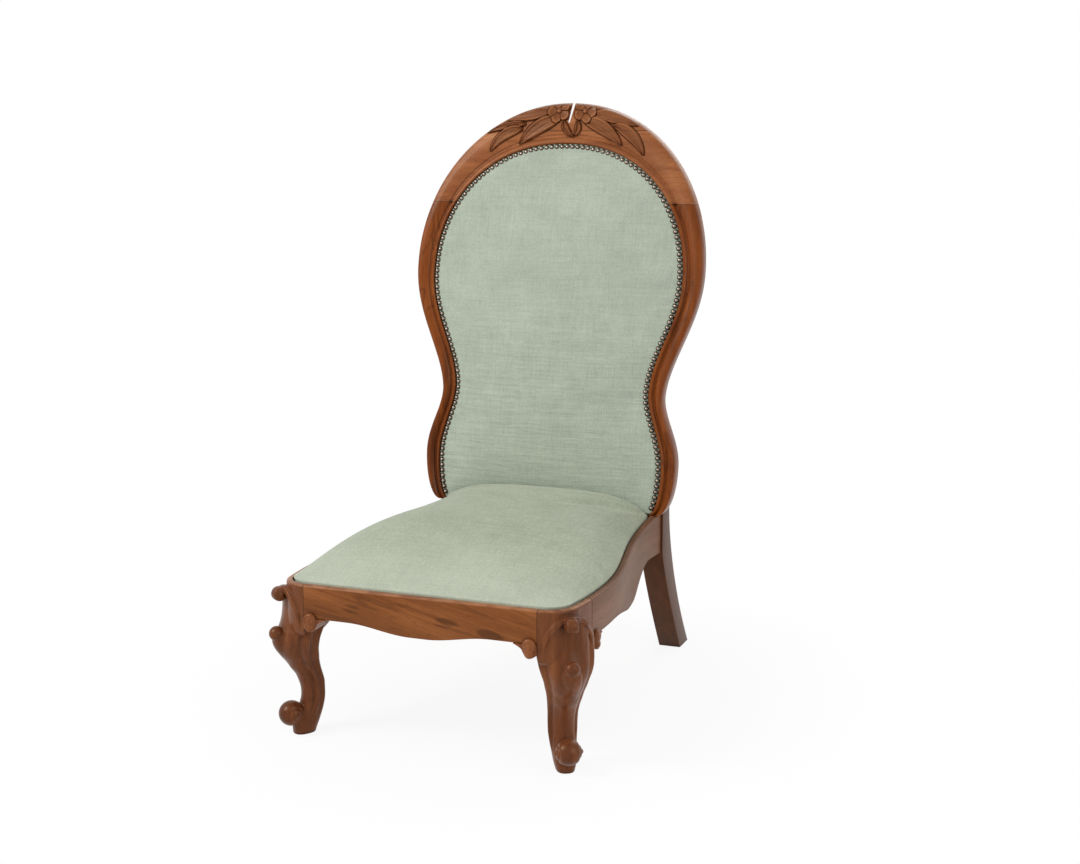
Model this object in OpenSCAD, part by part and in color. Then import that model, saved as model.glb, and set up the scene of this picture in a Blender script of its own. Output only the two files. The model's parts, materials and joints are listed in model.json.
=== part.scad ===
// Low balloon back nursing chair: show-wood frame, carved crest, close-nailed back
// and a drop-in seat. Millimetres, +Z up, the chair faces -Y.
// The sizes below count y from the front face of the front seat rail and z from the floor.
// Every node is then moved along y so that the origin lies under the middle of the chair.

/* [Seat frame] */
// Height of the front seat rail's top edge above the floor
seat_top = 258; // [240:1:280]
// Depth from the front rail's face to the face of the back at its foot
seat_depth = 542; // [520:1:570]
// Overall width of the seat frame at its widest
seat_wide = 505; // [492:1:520]
// How much narrower the seat frame is where the front corners end
seat_taper = 13; // [6:1:20]
// How much narrower the seat frame is at its narrowest, near the back
seat_draw_in = 91; // [84:1:98]
// Radius of the front corners in plan
corner_r = 50; // [44:1:56]
// Thickness of the seat rails
rail_t = 28; // [24:1:32]
// Width of the lip that stands round the seat
lip_w = 10; // [8:0.5:12]
// Rounding of the lip's outer edge
lip_r = 4.5; // [2:0.5:6]
// Depth of the rebate that the seat drops into
rebate_drop = 26; // [22:1:30]
// Rise of the side rails from the front to the foot of the back
rail_rise = 27; // [15:1:35]
// Drop of the front rail's middle below the seat top
front_drop = 65; // [58:1:72]
// Drop of the front rail's raised stretches, where the knee ears start
front_arch_drop = 53; // [48:1:57]
// Drop of the side rail behind the front leg
side_arch_drop = 61; // [52:1:70]
// Drop of the side rail at its belly
side_belly_drop = 95; // [80:1:105]
// Drop of the side rail in front of the rear leg
rear_arch_drop = 46; // [42:1:50]
// Length of the front leg's block along the side
leg_block_len = 91; // [80:1:100]

/* [Front legs] */
// Distance of the front feet's centres in from the sides of the seat frame's front
foot_inset = 21.5; // [18:0.5:28]
// Distance of the front feet's centres behind the front rail's face
foot_setback = 43.5; // [38:0.5:50]
// Angle of the leg's plane from the X axis
leg_turn = 56; // [45:1:60]
// Reach of the knee from the foot's centre
knee_reach = 54; // [48:1:58]
// Width across the knee
knee_wide = 88; // [80:1:92]
// Radius of the scrolled toe
toe_r = 20.5; // [17:0.5:22]
// Radius of the leaf bud on the knee
bud_r = 12; // [9:0.5:14]
// Radius of the scroll at the top of the knee
scroll_r = 12; // [10:0.5:13]
// Width of the raised hood round the knee
hood_w = 10; // [8:0.5:11]
// Height that the hood stands proud of the knee
hood_proud = 5; // [3:0.5:6]
// Radius of the knee ears' volutes
ear_r = 12; // [10:0.5:13]
// Height that the knee ears stand proud of the rails
ear_proud = 7; // [4:0.5:8]

/* [Rear legs] */
// Width of the rear legs, side to side
rear_leg_w = 41; // [36:1:46]
// How far the rear legs stand out past the side rails
rear_leg_proud = 4; // [0:0.5:6]
// Thickness of the rear leg at the level of the back's foot
rear_leg_t = 44; // [38:1:50]
// Rake of the rear foot's front edge behind the leg's front face
rear_rake = 123; // [100:1:140]
// Length of the rear foot on the floor
rear_foot_len = 55; // [45:1:60]
// Height of the rear leg's post above the back's foot
post_rise = 135; // [100:1:150]
// Thickness of the post at its top
post_top_t = 16; // [12:1:20]

/* [Back outline] */
// Overall height of the back above its foot
back_rise = 725; // [680:1:760]
// Height of the balloon's widest place above the back's foot
balloon_rise = 430; // [400:1:450]
// Height of the waist above the back's foot
waist_rise = 205; // [190:1:220]
// Height of the lower bulge above the back's foot
bulge_rise = 87; // [75:1:100]
// Overall width of the balloon
balloon_wide = 549; // [530:1:570]
// How much wider the back's foot is than the seat frame at its narrowest
foot_flare = 10; // [4:1:14]
// How much wider the back is at its waist than at its foot
waist_flare = 1; // [-8:1:10]
// How much wider the back is at its lower bulge than at its foot
bulge_flare = 60; // [48:1:70]
// Width of the crest's wooden face at the top
crest_face = 73; // [64:1:82]
// Width of the wooden face at the balloon's widest place
shoulder_face = 36; // [30:1:42]
// Width of the wooden face at the waist
waist_face = 26.5; // [22:0.5:32]
// Width of the wooden face at the lower bulge
bulge_face = 27; // [22:0.5:32]
// Width of the wooden face at the foot
foot_face = 18; // [14:0.5:22]
// Height of the joint between stiles and crest, as a share of the way up from the balloon's
// widest place to the top of the opening
crest_joint_share = 0.527; // [0.4:0.001:0.6]
// Height of the crest cap's glue line, as a share of the crest's face at the top
cap_share = 0.315; // [0.28:0.005:0.4]
// Height that the crest's leaves and flowers stand proud
carve_proud = 4; // [2:0.5:5]

/* [Back section] */
// Thickness of the back frame
back_t = 27; // [24:1:30]
// Lean of the back's straight part, in degrees
back_lean = 5.7; // [3:0.1:8]
// Height above the back's foot where the back starts to curve
bend_rise = 275; // [240:1:320]
// Radius of the back's curve in side view
bend_r = 2200; // [1800:10:3000]
// Width of the ledge that carries the webbing and the pad
ledge_w = 28; // [24:1:32]
// Depth of the ledge behind the frame's face
ledge_drop = 12; // [10:0.5:14]
// Width of bead and hollow beside the nails, before the share of the face
mould_w = 9; // [7:0.5:11]
// Height of the rail that closes the back at its foot
bottom_rail_h = 52; // [40:1:60]

/* [Upholstery] */
// Fullness of the back pad in its middle
back_crown = 18; // [10:1:22]
// Thickness of the pad at the nails
pad_edge = 4.5; // [3:0.5:6]
// Fullness of the seat in its middle
seat_crown = 68; // [50:1:75]
// Fullness of the seat at its back edge
seat_back_crown = 34; // [22:1:42]
// Thickness of the drop-in seat's frame
drop_frame_t = 18; // [15:1:20]
// Width of the drop-in seat's rails
drop_frame_w = 46; // [38:1:55]
// Gap round the drop-in seat
seat_gap = 1.5; // [1:0.1:3]
// Diameter of the upholstery nails' heads
nail_d = 9.6; // [8:0.1:10]
// Pitch of the upholstery nails
nail_pitch = 10; // [10:0.5:16]
// Width of the webbing
web_w = 50; // [40:1:55]

/* [Joinery] */
// Diameter of the seat frame's dowels
dowel_d = 9; // [8:0.5:10]
// Length of the seat frame's dowels
dowel_len = 36; // [30:1:40]
// Diameter of the crest dowels
crest_dowel_d = 8; // [6:0.5:9]
// Length of the crest dowels
crest_dowel_len = 60; // [50:1:70]
// Diameter of the screws' shanks
screw_d = 4.4; // [3.5:0.1:5]
// Length that a screw reaches into the piece that it holds
screw_bite = 15; // [12:1:17]

/* [Hidden] */

walnut = [0.42, 0.22, 0.12];
dark_walnut = [0.33, 0.16, 0.09];
light_walnut = [0.52, 0.29, 0.14];
beech = [0.72, 0.56, 0.38];
jute = [0.66, 0.55, 0.38];
velvet = [0.60, 0.66, 0.56];
seat_velvet = [0.57, 0.61, 0.47];
lining = [0.10, 0.10, 0.10];
brass = [0.50, 0.41, 0.24];
steel = [0.45, 0.45, 0.46];

// One overrun for every cutting solid
over = 1;
// One gap for soft layers and glued or screwed fits
layer_gap = 0.3;
hole_gap = 0.1;
round_fn = 48;
small_fn = 24;

seat_front_wide = seat_wide - seat_taper;
seat_narrow = seat_wide - seat_draw_in;
foot_wide = seat_narrow + foot_flare;
waist_wide = foot_wide + waist_flare;
bulge_wide = foot_wide + bulge_flare;
foot_spread = seat_front_wide - 2 * foot_inset;
foot_z = seat_top + rail_rise;
ledge_z = seat_top - rebate_drop;
balloon_z = foot_z + balloon_rise;
waist_z = foot_z + waist_rise;
bulge_z = foot_z + bulge_rise;
crest_top = foot_z + back_rise;
opening_top = crest_top - crest_face;
crest_joint_z = balloon_z + (opening_top - balloon_z) * crest_joint_share;
cap_z = opening_top + crest_face * cap_share;
bend_z = foot_z + bend_rise;
rear_face_y = seat_depth + back_t;
foot_end_y = rear_face_y + rear_rake + rear_foot_len;
middle_y = (foot_end_y - ear_proud) / 2;

module seated() translate([0, -middle_y, 0]) children();
module mirrored(side) mirror([side < 0 ? 1 : 0, 0, 0]) children();

function mix(a, b, t) = a + (b - a) * t;
function unit(t) = max(0, min(1, t));
function ease(t) = (1 - cos(180 * unit(t))) / 2;

// A closed skin over rings of equal length. Each flat end is a fan round a hub, halfway between
// the ring's points a and b, and the faces turn outwards whichever way the rings are wound.
function hub(ring, a, b) = (ring[a] + ring[b]) / 2;
function winding(ring) = [for (p = ring) 1] * [for (j = [0:len(ring) - 1])
    cross(ring[j] - ring[0], ring[(j + 1) % len(ring)] - ring[0])];
function skin_faces(n, m) = concat(
    [for (j = [0:m - 1]) [n * m, j, (j + 1) % m]],
    [for (j = [0:m - 1]) [n * m + 1, (n - 1) * m + (j + 1) % m, (n - 1) * m + j]],
    [for (i = [0:n - 2]) for (j = [0:m - 1])
        [i * m + j, (i + 1) * m + j, (i + 1) * m + (j + 1) % m]],
    [for (i = [0:n - 2]) for (j = [0:m - 1])
        [i * m + j, (i + 1) * m + (j + 1) % m, i * m + (j + 1) % m]]
);
module skin(rings, a = 0, b = -1) {
    n = len(rings);
    m = len(rings[0]);
    far = b < 0 ? floor(m / 2) : b;
    ends = [hub(rings[0], a, far), hub(rings[n - 1], a, far)];
    outward = winding(rings[0]) * (hub(rings[1], a, far) - ends[0]) > 0;
    polyhedron(concat([for (ring = rings) for (p = ring) p], ends),
        [for (f = skin_faces(n, m)) outward ? f : [f[2], f[1], f[0]]], convexity = 8);
}

// Outline of the seat frame in plan

wide_share = 0.277;
narrow_share = 0.886;
front_flare_share = 2.2;
waist_flare_share = 1.12;
side_steps = 16;
y_wide = seat_depth * wide_share;
y_narrow = seat_depth * narrow_share;
corner_x = seat_front_wide / 2 - corner_r;
function side_x(y) =
    y < y_wide
        ? mix(seat_wide, seat_front_wide, pow((y_wide - y) / (y_wide - corner_r), front_flare_share)) / 2
    : y < y_narrow
        ? mix(seat_wide, seat_narrow, ease(pow((y - y_wide) / (y_narrow - y_wide), waist_flare_share))) / 2
    : mix(seat_narrow, foot_wide, pow((y - y_narrow) / (rear_face_y - y_narrow), 2)) / 2;
function side_slope(y) = side_x(y + over / 2) - side_x(y - over / 2);
function side_point(y, inset) =
    let (s = side_slope(y) / over, n = sqrt(1 + s * s)) [side_x(y) - inset / n, y + inset * s / n];
// Stations along the side, closer together where a piece ends
leg_stations = [for (k = [0:3]) mix(corner_r, leg_block_len, k / 3)];
rail_stations = [for (k = [0:side_steps]) mix(leg_block_len, seat_depth - rail_t, k / side_steps)];
side_stations = concat(rail_stations, [seat_depth, rear_face_y]);
function side_line(inset, stations) = [for (y = stations) side_point(y, inset)];
function corner_line(inset) = [for (k = [0:6])
    [corner_x + (corner_r - inset) * sin(15 * k), corner_r - (corner_r - inset) * cos(15 * k)]];
function flip_x(points) = [for (k = [len(points) - 1:-1:0]) [-points[k][0], points[k][1]]];
// The whole plan, drawn in by an inset, with its back edge at y_back
function plan(inset, y_back) = let (
    line = side_line(inset, concat(leg_stations, rail_stations, [seat_depth])),
    inner = [for (p = line) if (p[1] < y_back) p],
    last = inner[len(inner) - 1],
    half = concat(corner_line(inset), [for (k = [1:len(inner) - 1]) inner[k]], [[last[0], y_back]])
) concat(half, flip_x(half));

module seat_well()
    translate([0, 0, ledge_z])
        linear_extrude(rail_rise + rebate_drop + over) polygon(plan(lip_w, seat_depth));

// Heights of the side rail along its length

rise_share = 0.636;
arch_y_share = 0.345;
belly_y_share = 0.758;
rear_arch_y_share = 0.96;
function rail_top(y) =
    seat_top + rail_rise * pow(unit((y - seat_depth * rise_share) / (seat_depth * (1 - rise_share))), 1.5);
function rail_low(y) = seat_top - (
    y < seat_depth * belly_y_share
        ? mix(side_arch_drop, side_belly_drop,
            ease((y / seat_depth - arch_y_share) / (belly_y_share - arch_y_share)))
        : mix(side_belly_drop, rear_arch_drop,
            ease((y / seat_depth - belly_y_share) / (rear_arch_y_share - belly_y_share))));

// Section of a rail: distance in from the outer face, and height
function rail_section(low, top) = [
    [0, low], [0, top - lip_r], [lip_r * 0.3, top - lip_r * 0.3], [lip_r, top], [rail_t, top], [rail_t, low]
];
function square_end(y, p) = [p[0], y < rear_face_y && y > leg_block_len ? p[1] : y];
function side_ring(y, low) = [for (s = rail_section(low, rail_top(y)))
    let (p = square_end(y, side_point(y, s[0]))) [p[0], p[1], s[1]]];
// The rail's inner face in plan, and its distance from the middle at a depth
inner_line = [for (y = side_stations) square_end(y, side_point(y, rail_t))];
inner_by_y = [for (p = inner_line) [p[1], p[0]]];
function inner_x(y) = lookup(y, inner_by_y);
function inner_run(y0, y1) = concat([[inner_x(y0), y0]],
    [for (p = inner_line) if (p[1] > y0 && p[1] < y1) p], [[inner_x(y1), y1]]);

module side_rail(side) seated() color(walnut) mirrored(side) difference() {
    skin([for (y = side_stations) side_ring(y, rail_low(y))]);
    seat_well();
    seat_dowel_set(hole_gap);
    block_screw_set(hole_gap);
}
module left_side_rail() side_rail(-1);
module right_side_rail() side_rail(1);

// Front rail: arched outline from the front, lipped section from the side

front_steps = 8;
arch_x = corner_x * 0.62;
function front_low(x) = seat_top - mix(front_drop, front_arch_drop,
    ease((x - arch_x * 0.1) / (arch_x * 0.9)));
module front_rail() seated() color(light_walnut) difference() {
    intersection() {
        rotate([90, 0, 0]) translate([0, 0, -rail_t]) linear_extrude(rail_t) polygon(concat(
            [for (k = [-front_steps:front_steps])
                let (x = arch_x * k / front_steps) [x, front_low(abs(x))]],
            [[corner_x, seat_top - front_arch_drop], [corner_x, seat_top],
                [-corner_x, seat_top], [-corner_x, seat_top - front_arch_drop]]));
        rotate([90, 0, 90]) translate([0, 0, -corner_x]) linear_extrude(2 * corner_x)
            polygon(rail_section(seat_top - front_drop - over, seat_top));
    }
    seat_well();
    seat_dowel_set(hole_gap);
    block_screw_set(hole_gap);
}

// Rear seat rail, between the side rails and under the back

module rear_seat_rail() seated() color(beech) difference() {
    line = inner_run(seat_depth - rail_t, rear_face_y);
    translate([0, 0, seat_top - rear_arch_drop])
        linear_extrude(rear_arch_drop + rail_rise) polygon(concat(line, flip_x(line)));
    seat_well();
    seat_dowel_set(hole_gap);
    block_screw_set(hole_gap);
}

// Front legs: a corner block and a cabriole stem with a hood, a scroll, a bud and a toe, all
// carved from one piece

// Stem sections: height as a share of seat_top; inner reach and outer reach as shares of
// knee_reach; half width as a share of half of knee_wide
stem_shares = [
    [0, -0.33, 0.33, 0.31], [0.035, -0.38, 0.34, 0.37],
    [0.078, -0.46, 0.30, 0.41], [0.136, -0.54, 0.19, 0.45],
    [0.194, -0.59, 0.08, 0.47], [0.240, -0.61, 0.04, 0.48], [0.295, -0.61, 0.06, 0.49],
    [0.341, -0.60, 0.13, 0.50], [0.384, -0.54, 0.22, 0.53], [0.426, -0.48, 0.37, 0.57],
    [0.473, -0.43, 0.50, 0.62], [0.516, -0.41, 0.65, 0.69], [0.562, -0.39, 0.76, 0.76],
    [0.601, -0.39, 0.80, 0.84], [0.643, -0.41, 0.77, 0.91], [0.675, -0.46, 0.71, 0.94],
    [0.702, -0.50, 0.64, 0.96], [0.736, -0.54, 0.58, 0.97], [0.795, -0.56, 0.53, 0.97],
    [0.853, -0.56, 0.53, 0.90], [0.900, -0.52, 0.55, 0.74], [0.935, -0.44, 0.55, 0.45]
];
// Half of a section from its inner side to its nose: place along from -1 to 1, and share of the
// half width. A bead stands up at the side, between the panel in front and the hollow behind
stem_section = [[-0.92, 0.62], [-0.74, 0.92], [-0.40, 0.90], [-0.14, 1], [0.06, 0.98], [0.16, 0.87],
    [0.48, 0.77], [0.76, 0.57], [0.93, 0.30]];
// The sections are round below the first share and beaded above the second
bead_from = 0.10;
bead_full = 0.22;
stem_round = 2.5;
leg_out = [cos(leg_turn), -sin(leg_turn)];
leg_across = [sin(leg_turn), cos(leg_turn)];
leg_middle = [foot_spread / 2, foot_setback];
ear_high = seat_top - front_arch_drop;
ear_low = ear_high - ear_r * 1.8;
function stem_row(share) = [for (c = [0:3]) lookup(share, [for (row = stem_shares) [row[0], row[c]]])];
stem_rows = concat(
    [for (row = stem_shares) if (row[0] < ear_low / seat_top - 0.01) row],
    [stem_row(ear_low / seat_top)],
    [for (row = stem_shares) if (row[0] > ear_low / seat_top + 0.01) row]
);
function stem_ring(row) = let (
    middle = (row[1] + row[2]) / 2, reach = (row[2] - row[1]) / 2,
    beaded = unit((row[0] - bead_from) / (bead_full - bead_from)),
    side = [for (s = stem_section) [middle + reach * s[0],
        row[3] * mix(pow(1 - pow(abs(s[0]), stem_round), 1 / stem_round), s[1], beaded)]],
    half = concat([[row[1], 0]], side, [[row[2], 0]]),
    ring = concat(half, [for (k = [len(side):-1:1]) [half[k][0], -half[k][1]]])
) [for (s = ring)
    let (p = leg_middle + leg_out * knee_reach * s[0] + leg_across * knee_wide / 2 * s[1])
        row[0] * seat_top < ear_low
            ? [p[0], p[1], seat_top * row[0]]
            : [max(p[0], corner_x + over / 2), min(p[1], leg_block_len - over / 2), seat_top * row[0]]];

block_corner_steps = 10;
function block_plan(inset) = concat(
    [for (k = [0:block_corner_steps]) let (a = 90 * k / block_corner_steps, r = corner_r - inset)
        [corner_x + r * sin(a), corner_r - r * cos(a)]],
    [for (k = [1:3]) let (y = leg_stations[k]) [side_point(y, inset)[0], y]],
    [[corner_x, leg_block_len], [corner_x, mix(leg_block_len, inset, 0.5)]]
);
function block_ring(inset, z) = [for (p = block_plan(inset)) [p[0], p[1], z]];

// How far the knee stands out along the leg's plane: the block or the stem, whichever is further
block_face = [for (k = [0:block_corner_steps + 3]) let (p = block_plan(0)[k] - leg_middle)
    [p * leg_across, p * leg_out]];
stem_front = concat([[0, 1]],
    [for (k = [len(stem_section) - 1:-1:3]) [stem_section[k][1], stem_section[k][0]]]);
function stem_face(w, z) = let (row = stem_row(z / seat_top))
    knee_reach * mix(row[1], row[2], (1 + lookup(abs(w) / (knee_wide / 2 * row[3]), stem_front)) / 2);
function knee_face(w, z) = max(lookup(w, block_face), stem_face(w, z));

// The hood is a raised band along an arch over the knee. Section: places along and out of the face
hood_shares = [[0.46, -0.6], [0.5, 0.5], [0.25, 1], [-0.2, 1.05], [-0.46, 0.55], [-0.5, -0.6]];
hood_half = knee_wide / 2 * 0.93;
hood_low = ear_low * 1.02;
hood_high = seat_top - hood_w * 1.45;
function hood_point(a) = let (w = -hood_half * cos(a), z = mix(hood_low, hood_high, sin(a)))
    [knee_face(w, z), w, z];
function hood_ring(a) = let (
    p = hood_point(a),
    along = hood_point(min(180, a + 4)) - hood_point(max(0, a - 4)),
    slope = (knee_face(p[1] + over, p[2]) - knee_face(p[1] - over, p[2])) / (2 * over),
    out = [1, -slope, 0] / norm([1, slope]),
    side = cross(out, along) / norm(cross(out, along))
) [for (s = hood_shares) p + side * hood_w * s[0] + out * hood_proud * s[1]];

toe_q = knee_reach * 0.41;
toe_z = toe_r * 1.74;
bud_q = knee_reach * 0.82;
bud_z = seat_top * 0.667;
scroll_q = knee_reach * 0.70;
scroll_z = seat_top - scroll_r * 1.85;
scroll_root = knee_reach * 0.3;
scroll_start = 95;
scroll_turn = 225;

// The bud's tail runs down the nose of the stem. Rings: height as a share of seat_top, centre as a
// share of knee_reach, and radius as a share of bud_r
tail_shares = [[0.667, 0.78, 0.75], [0.635, 0.79, 1], [0.60, 0.77, 1.02], [0.562, 0.70, 0.95],
    [0.516, 0.56, 0.82], [0.473, 0.41, 0.68], [0.426, 0.27, 0.52], [0.39, 0.18, 0.30]];
function tail_ring(row) = [for (a = [0:36:324])
    [knee_reach * row[1] + bud_r * row[2] * cos(a), bud_r * row[2] * sin(a), seat_top * row[0]]];

module at_leg() translate([leg_middle[0], leg_middle[1], 0]) rotate([0, 0, -leg_turn]) children();

// Scroll rolled over outwards at the top of the knee, with a crease under its curl
module scroll() rotate([90, 0, 0]) {
    translate([0, 0, -scroll_r * 0.85]) linear_extrude(scroll_r * 1.7) polygon(concat(
        [[scroll_root, scroll_z], [scroll_root, scroll_z + scroll_r * 0.97]],
        [for (k = [0:12]) let (a = scroll_start - scroll_turn * k / 12, r = scroll_r * mix(1, 0.92, k / 12))
            [scroll_q + r * cos(a), scroll_z + r * sin(a)]],
        [[scroll_q - scroll_r * 0.6, scroll_z]]));
    translate([scroll_q, scroll_z, 0])
        cylinder(h = scroll_r * 2.1, r = scroll_r * 0.42, center = true, $fn = small_fn);
}

module front_leg(side) seated() color(dark_walnut) mirrored(side) difference() {
    union() {
        skin([block_ring(0, ear_low), block_ring(0, seat_top - lip_r),
            block_ring(lip_r * 0.3, seat_top - lip_r * 0.3), block_ring(lip_r, seat_top)], 5, 15);
        skin([for (row = stem_rows) stem_ring(row)]);
        at_leg() {
            skin([for (a = [0:12:180]) hood_ring(a)]);
            scroll();
            translate([toe_q, 0, toe_z]) rotate([90, 0, 0]) {
                sphere(r = toe_r, $fn = round_fn);
                cylinder(h = toe_r * 2.25, r = toe_r * 0.24, center = true, $fn = small_fn);
            }
            translate([bud_q, 0, bud_z]) rotate([90, 0, 0]) sphere(r = bud_r, $fn = small_fn);
            skin([for (row = tail_shares) tail_ring(row)]);
        }
    }
    seat_well();
    seat_dowel_set(hole_gap);
}
module front_left_leg() front_leg(-1);
module front_right_leg() front_leg(1);

// Knee ears: each is a bracket glued under a rail beside the leg, with two volutes on its face

ear_len = ear_r * 3.3;
module ear_bracket() polygon(concat(
    [[0, ear_r * 0.5], [ear_r * 0.5, ear_r * 0.15], [ear_r * 1.05, 0], [ear_r * 1.6, ear_r * 0.3]],
    [for (k = [0:5]) let (t = k / 5)
        [mix(ear_r * 1.85, ear_len, t), ear_r * 1.8 * (0.4 + 0.6 * sqrt(t))]],
    [[0, ear_r * 1.8]]));
// A volute: place along and up from the bracket's low corner, and radius, as shares of ear_r
ear_volutes = [[1.02, 1.65, 0.95], [0.98, 0.70, 0.70]];
module ear_volute(r) {
    cylinder(h = ear_proud * 0.45, r = r, $fn = small_fn);
    translate([0, 0, ear_proud * 0.45]) cylinder(h = ear_proud * 0.3, r1 = r, r2 = r * 0.82, $fn = small_fn);
    translate([0, 0, ear_proud * 0.75])
        cylinder(h = ear_proud * 0.25, r1 = r * 0.82, r2 = r * 0.45, $fn = small_fn);
}
// An ear whose bracket reaches back by a depth, drawn with its face towards +Z
module ear(depth) {
    translate([0, 0, -depth]) linear_extrude(depth + ear_proud * 0.3) ear_bracket();
    for (v = ear_volutes) translate([v[0] * ear_r, v[1] * ear_r, 0]) ear_volute(v[2] * ear_r);
}
module front_ear(side) seated() color(walnut) mirrored(side)
    translate([corner_x, 0, ear_low]) rotate([90, 0, 0]) mirror([1, 0, 0]) ear(rail_t - hole_gap);
module front_left_ear() front_ear(-1);
module front_right_ear() front_ear(1);
side_ear_x = side_x(leg_block_len + 2 * ear_r) + hole_gap;
module side_ear(side) seated() color(walnut) mirrored(side)
    translate([side_ear_x, leg_block_len, seat_top - side_arch_drop - ear_r * 1.8])
        rotate([90, 0, 90]) ear(rail_t - lip_r);
module side_left_ear() side_ear(-1);
module side_right_ear() side_ear(1);

// Rear legs: sabre legs sawn from a board, with a post that runs up behind the stile

rear_leg_out = foot_wide / 2 + rear_leg_proud;
rear_leg_in = rear_leg_out - rear_leg_w;
rear_arch_z = seat_top - rear_arch_drop;
post_top_z = foot_z + post_rise;
front_sabre_share = 1.18;
rear_sabre_share = 1.65;
function sabre_front(z) = z > foot_z
    ? back_y(z) + back_t
    : rear_face_y + rear_rake * pow(unit((rear_arch_z - z) / rear_arch_z), front_sabre_share);
function sabre_rear(z) = z > foot_z
    ? mix(rear_face_y + rear_leg_t, back_y(post_top_z) + back_t + post_top_t, (z - foot_z) / post_rise)
    : rear_face_y + rear_leg_t
        + (rear_rake + rear_foot_len - rear_leg_t) * pow((foot_z - z) / foot_z, rear_sabre_share);
sabre_steps = 10;
module rear_leg(side) seated() color(dark_walnut) mirrored(side) difference() {
    rotate([90, 0, 90]) translate([0, 0, rear_leg_in]) linear_extrude(rear_leg_w) polygon(concat(
        [for (k = [0:sabre_steps]) let (z = rear_arch_z * k / sabre_steps) [sabre_front(z), z]],
        [[rear_face_y, foot_z], [sabre_front(post_top_z), post_top_z],
            [sabre_rear(post_top_z) - post_top_t / 2, post_top_z],
            [sabre_rear(post_top_z - post_top_t), post_top_z - post_top_t]],
        [for (k = [sabre_steps:-1:0]) let (z = foot_z * k / sabre_steps) [sabre_rear(z), z]]));
    seat_dowel_set(hole_gap);
    post_screw_set(hole_gap);
}
module rear_left_leg() rear_leg(-1);
module rear_right_leg() rear_leg(1);

// Back: the face is a sheet that leans, then curves back; outlines are drawn on it

function back_y(z) = seat_depth + tan(back_lean) * (z - foot_z) + pow(max(0, z - bend_z), 2) / (2 * bend_r);
function back_tilt(z) = atan(tan(back_lean) + max(0, z - bend_z) / bend_r);

// An outline holds its half widths at balloon, waist, bulge and foot, its top, the roundness
// of its top, the heights of balloon, waist and bulge, and the ease of its flanks
outer_edge = [balloon_wide / 2, waist_wide / 2, bulge_wide / 2, foot_wide / 2, crest_top,
    2.04, balloon_z, waist_z, bulge_z, 0.87];
inner_shift = back_rise * 0.01;
inner_edge = [balloon_wide / 2 - shoulder_face, waist_wide / 2 - waist_face, bulge_wide / 2 - bulge_face,
    foot_wide / 2 - foot_face, opening_top,
    2.15, balloon_z - 2 * inner_shift, waist_z + inner_shift, bulge_z - inner_shift, 0.95];
function shrunk(e, d) = [for (k = [0:9]) k < 5 ? e[k] - d : e[k]];
function edge_x(z, e) =
    z > e[6] ? e[0] * pow(max(0, 1 - pow((z - e[6]) / (e[4] - e[6]), e[5])), 1 / e[5])
    : z > e[7] ? mix(e[1], e[0], ease(pow((z - e[7]) / (e[6] - e[7]), e[9])))
    : z > e[8] ? mix(e[1], e[2], ease(pow((e[7] - z) / (e[7] - e[8]), 0.9)))
    : mix(e[3], e[2], sqrt(max(0, 1 - pow((e[8] - z) / (e[8] - foot_z), 2))));
// Point of an outline above the crest joint: t runs from the joint to the middle of the top
function crest_edge(t, e) = let (
    start = asin(pow((crest_joint_z - e[6]) / (e[4] - e[6]), e[5] / 2)),
    a = mix(start, 90, t)
) [e[0] * pow(cos(a), 2 / e[5]), e[6] + (e[4] - e[6]) * pow(sin(a), 2 / e[5])];

foot_steps = 5;
stile_steps = 18;
crest_steps = 12;
stile_stations = concat(
    [for (k = [0:foot_steps]) bulge_z - (bulge_z - foot_z) * cos(90 * k / foot_steps)],
    [for (k = [1:stile_steps]) mix(bulge_z, crest_joint_z, k / stile_steps)]
);
function outline(e) = let (half = concat(
    [for (z = stile_stations) [edge_x(z, e), z]],
    [for (k = [1:crest_steps]) crest_edge(k / crest_steps, e)]
)) concat(half, [for (k = [len(half) - 2:-1:0]) [-half[k][0], half[k][1]]]);

// Moulding of the face: a broad roll, then a hollow and a bead beside the nails.
// Pairs of place across and depth; depths are shares of back_t
roll_shares = [[0, 0.40], [0.04, 0.17], [0.15, 0.04], [0.34, 0], [0.62, 0.02], [0.85, 0.09], [1, 0.16]];
bead_shares = [[0.20, 0.19], [0.38, 0.15], [0.50, 0.10], [0.70, 0.06], [0.88, 0.09], [1, 0.17]];
mould_share = 0.12;
function back_section(o, i) = let (
    w = norm(i - o), e = (i - o) / w, m = mould_w + mould_share * w,
    across = concat(
        [for (s = roll_shares) [s[0] * (w - m), s[1] * back_t]],
        [for (s = bead_shares) [w - m + s[0] * m, s[1] * back_t]],
        [[w, ledge_drop], [w + ledge_w, ledge_drop], [w + ledge_w, back_t],
            [w * 0.05, back_t], [0, back_t * 0.9]])
) [for (a = across) let (p = o + e * a[0]) [p[0], back_y(p[1]) + a[1], p[1]]];

module stile(side) seated() color(dark_walnut) mirrored(side) difference() {
    skin([for (z = stile_stations)
        back_section([edge_x(z, outer_edge), z], [edge_x(z, inner_edge), z])], 13, 16);
    back_dowel_set(hole_gap);
    post_screw_set(hole_gap);
}
module left_stile() stile(-1);
module right_stile() stile(1);

module crest_body() {
    half = [for (k = [0:crest_steps])
        back_section(crest_edge(k / crest_steps, outer_edge), crest_edge(k / crest_steps, inner_edge))];
    skin(concat(half, [for (k = [crest_steps - 1:-1:0]) [for (p = half[k]) [-p[0], p[1], p[2]]]]), 13, 16);
}

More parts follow.
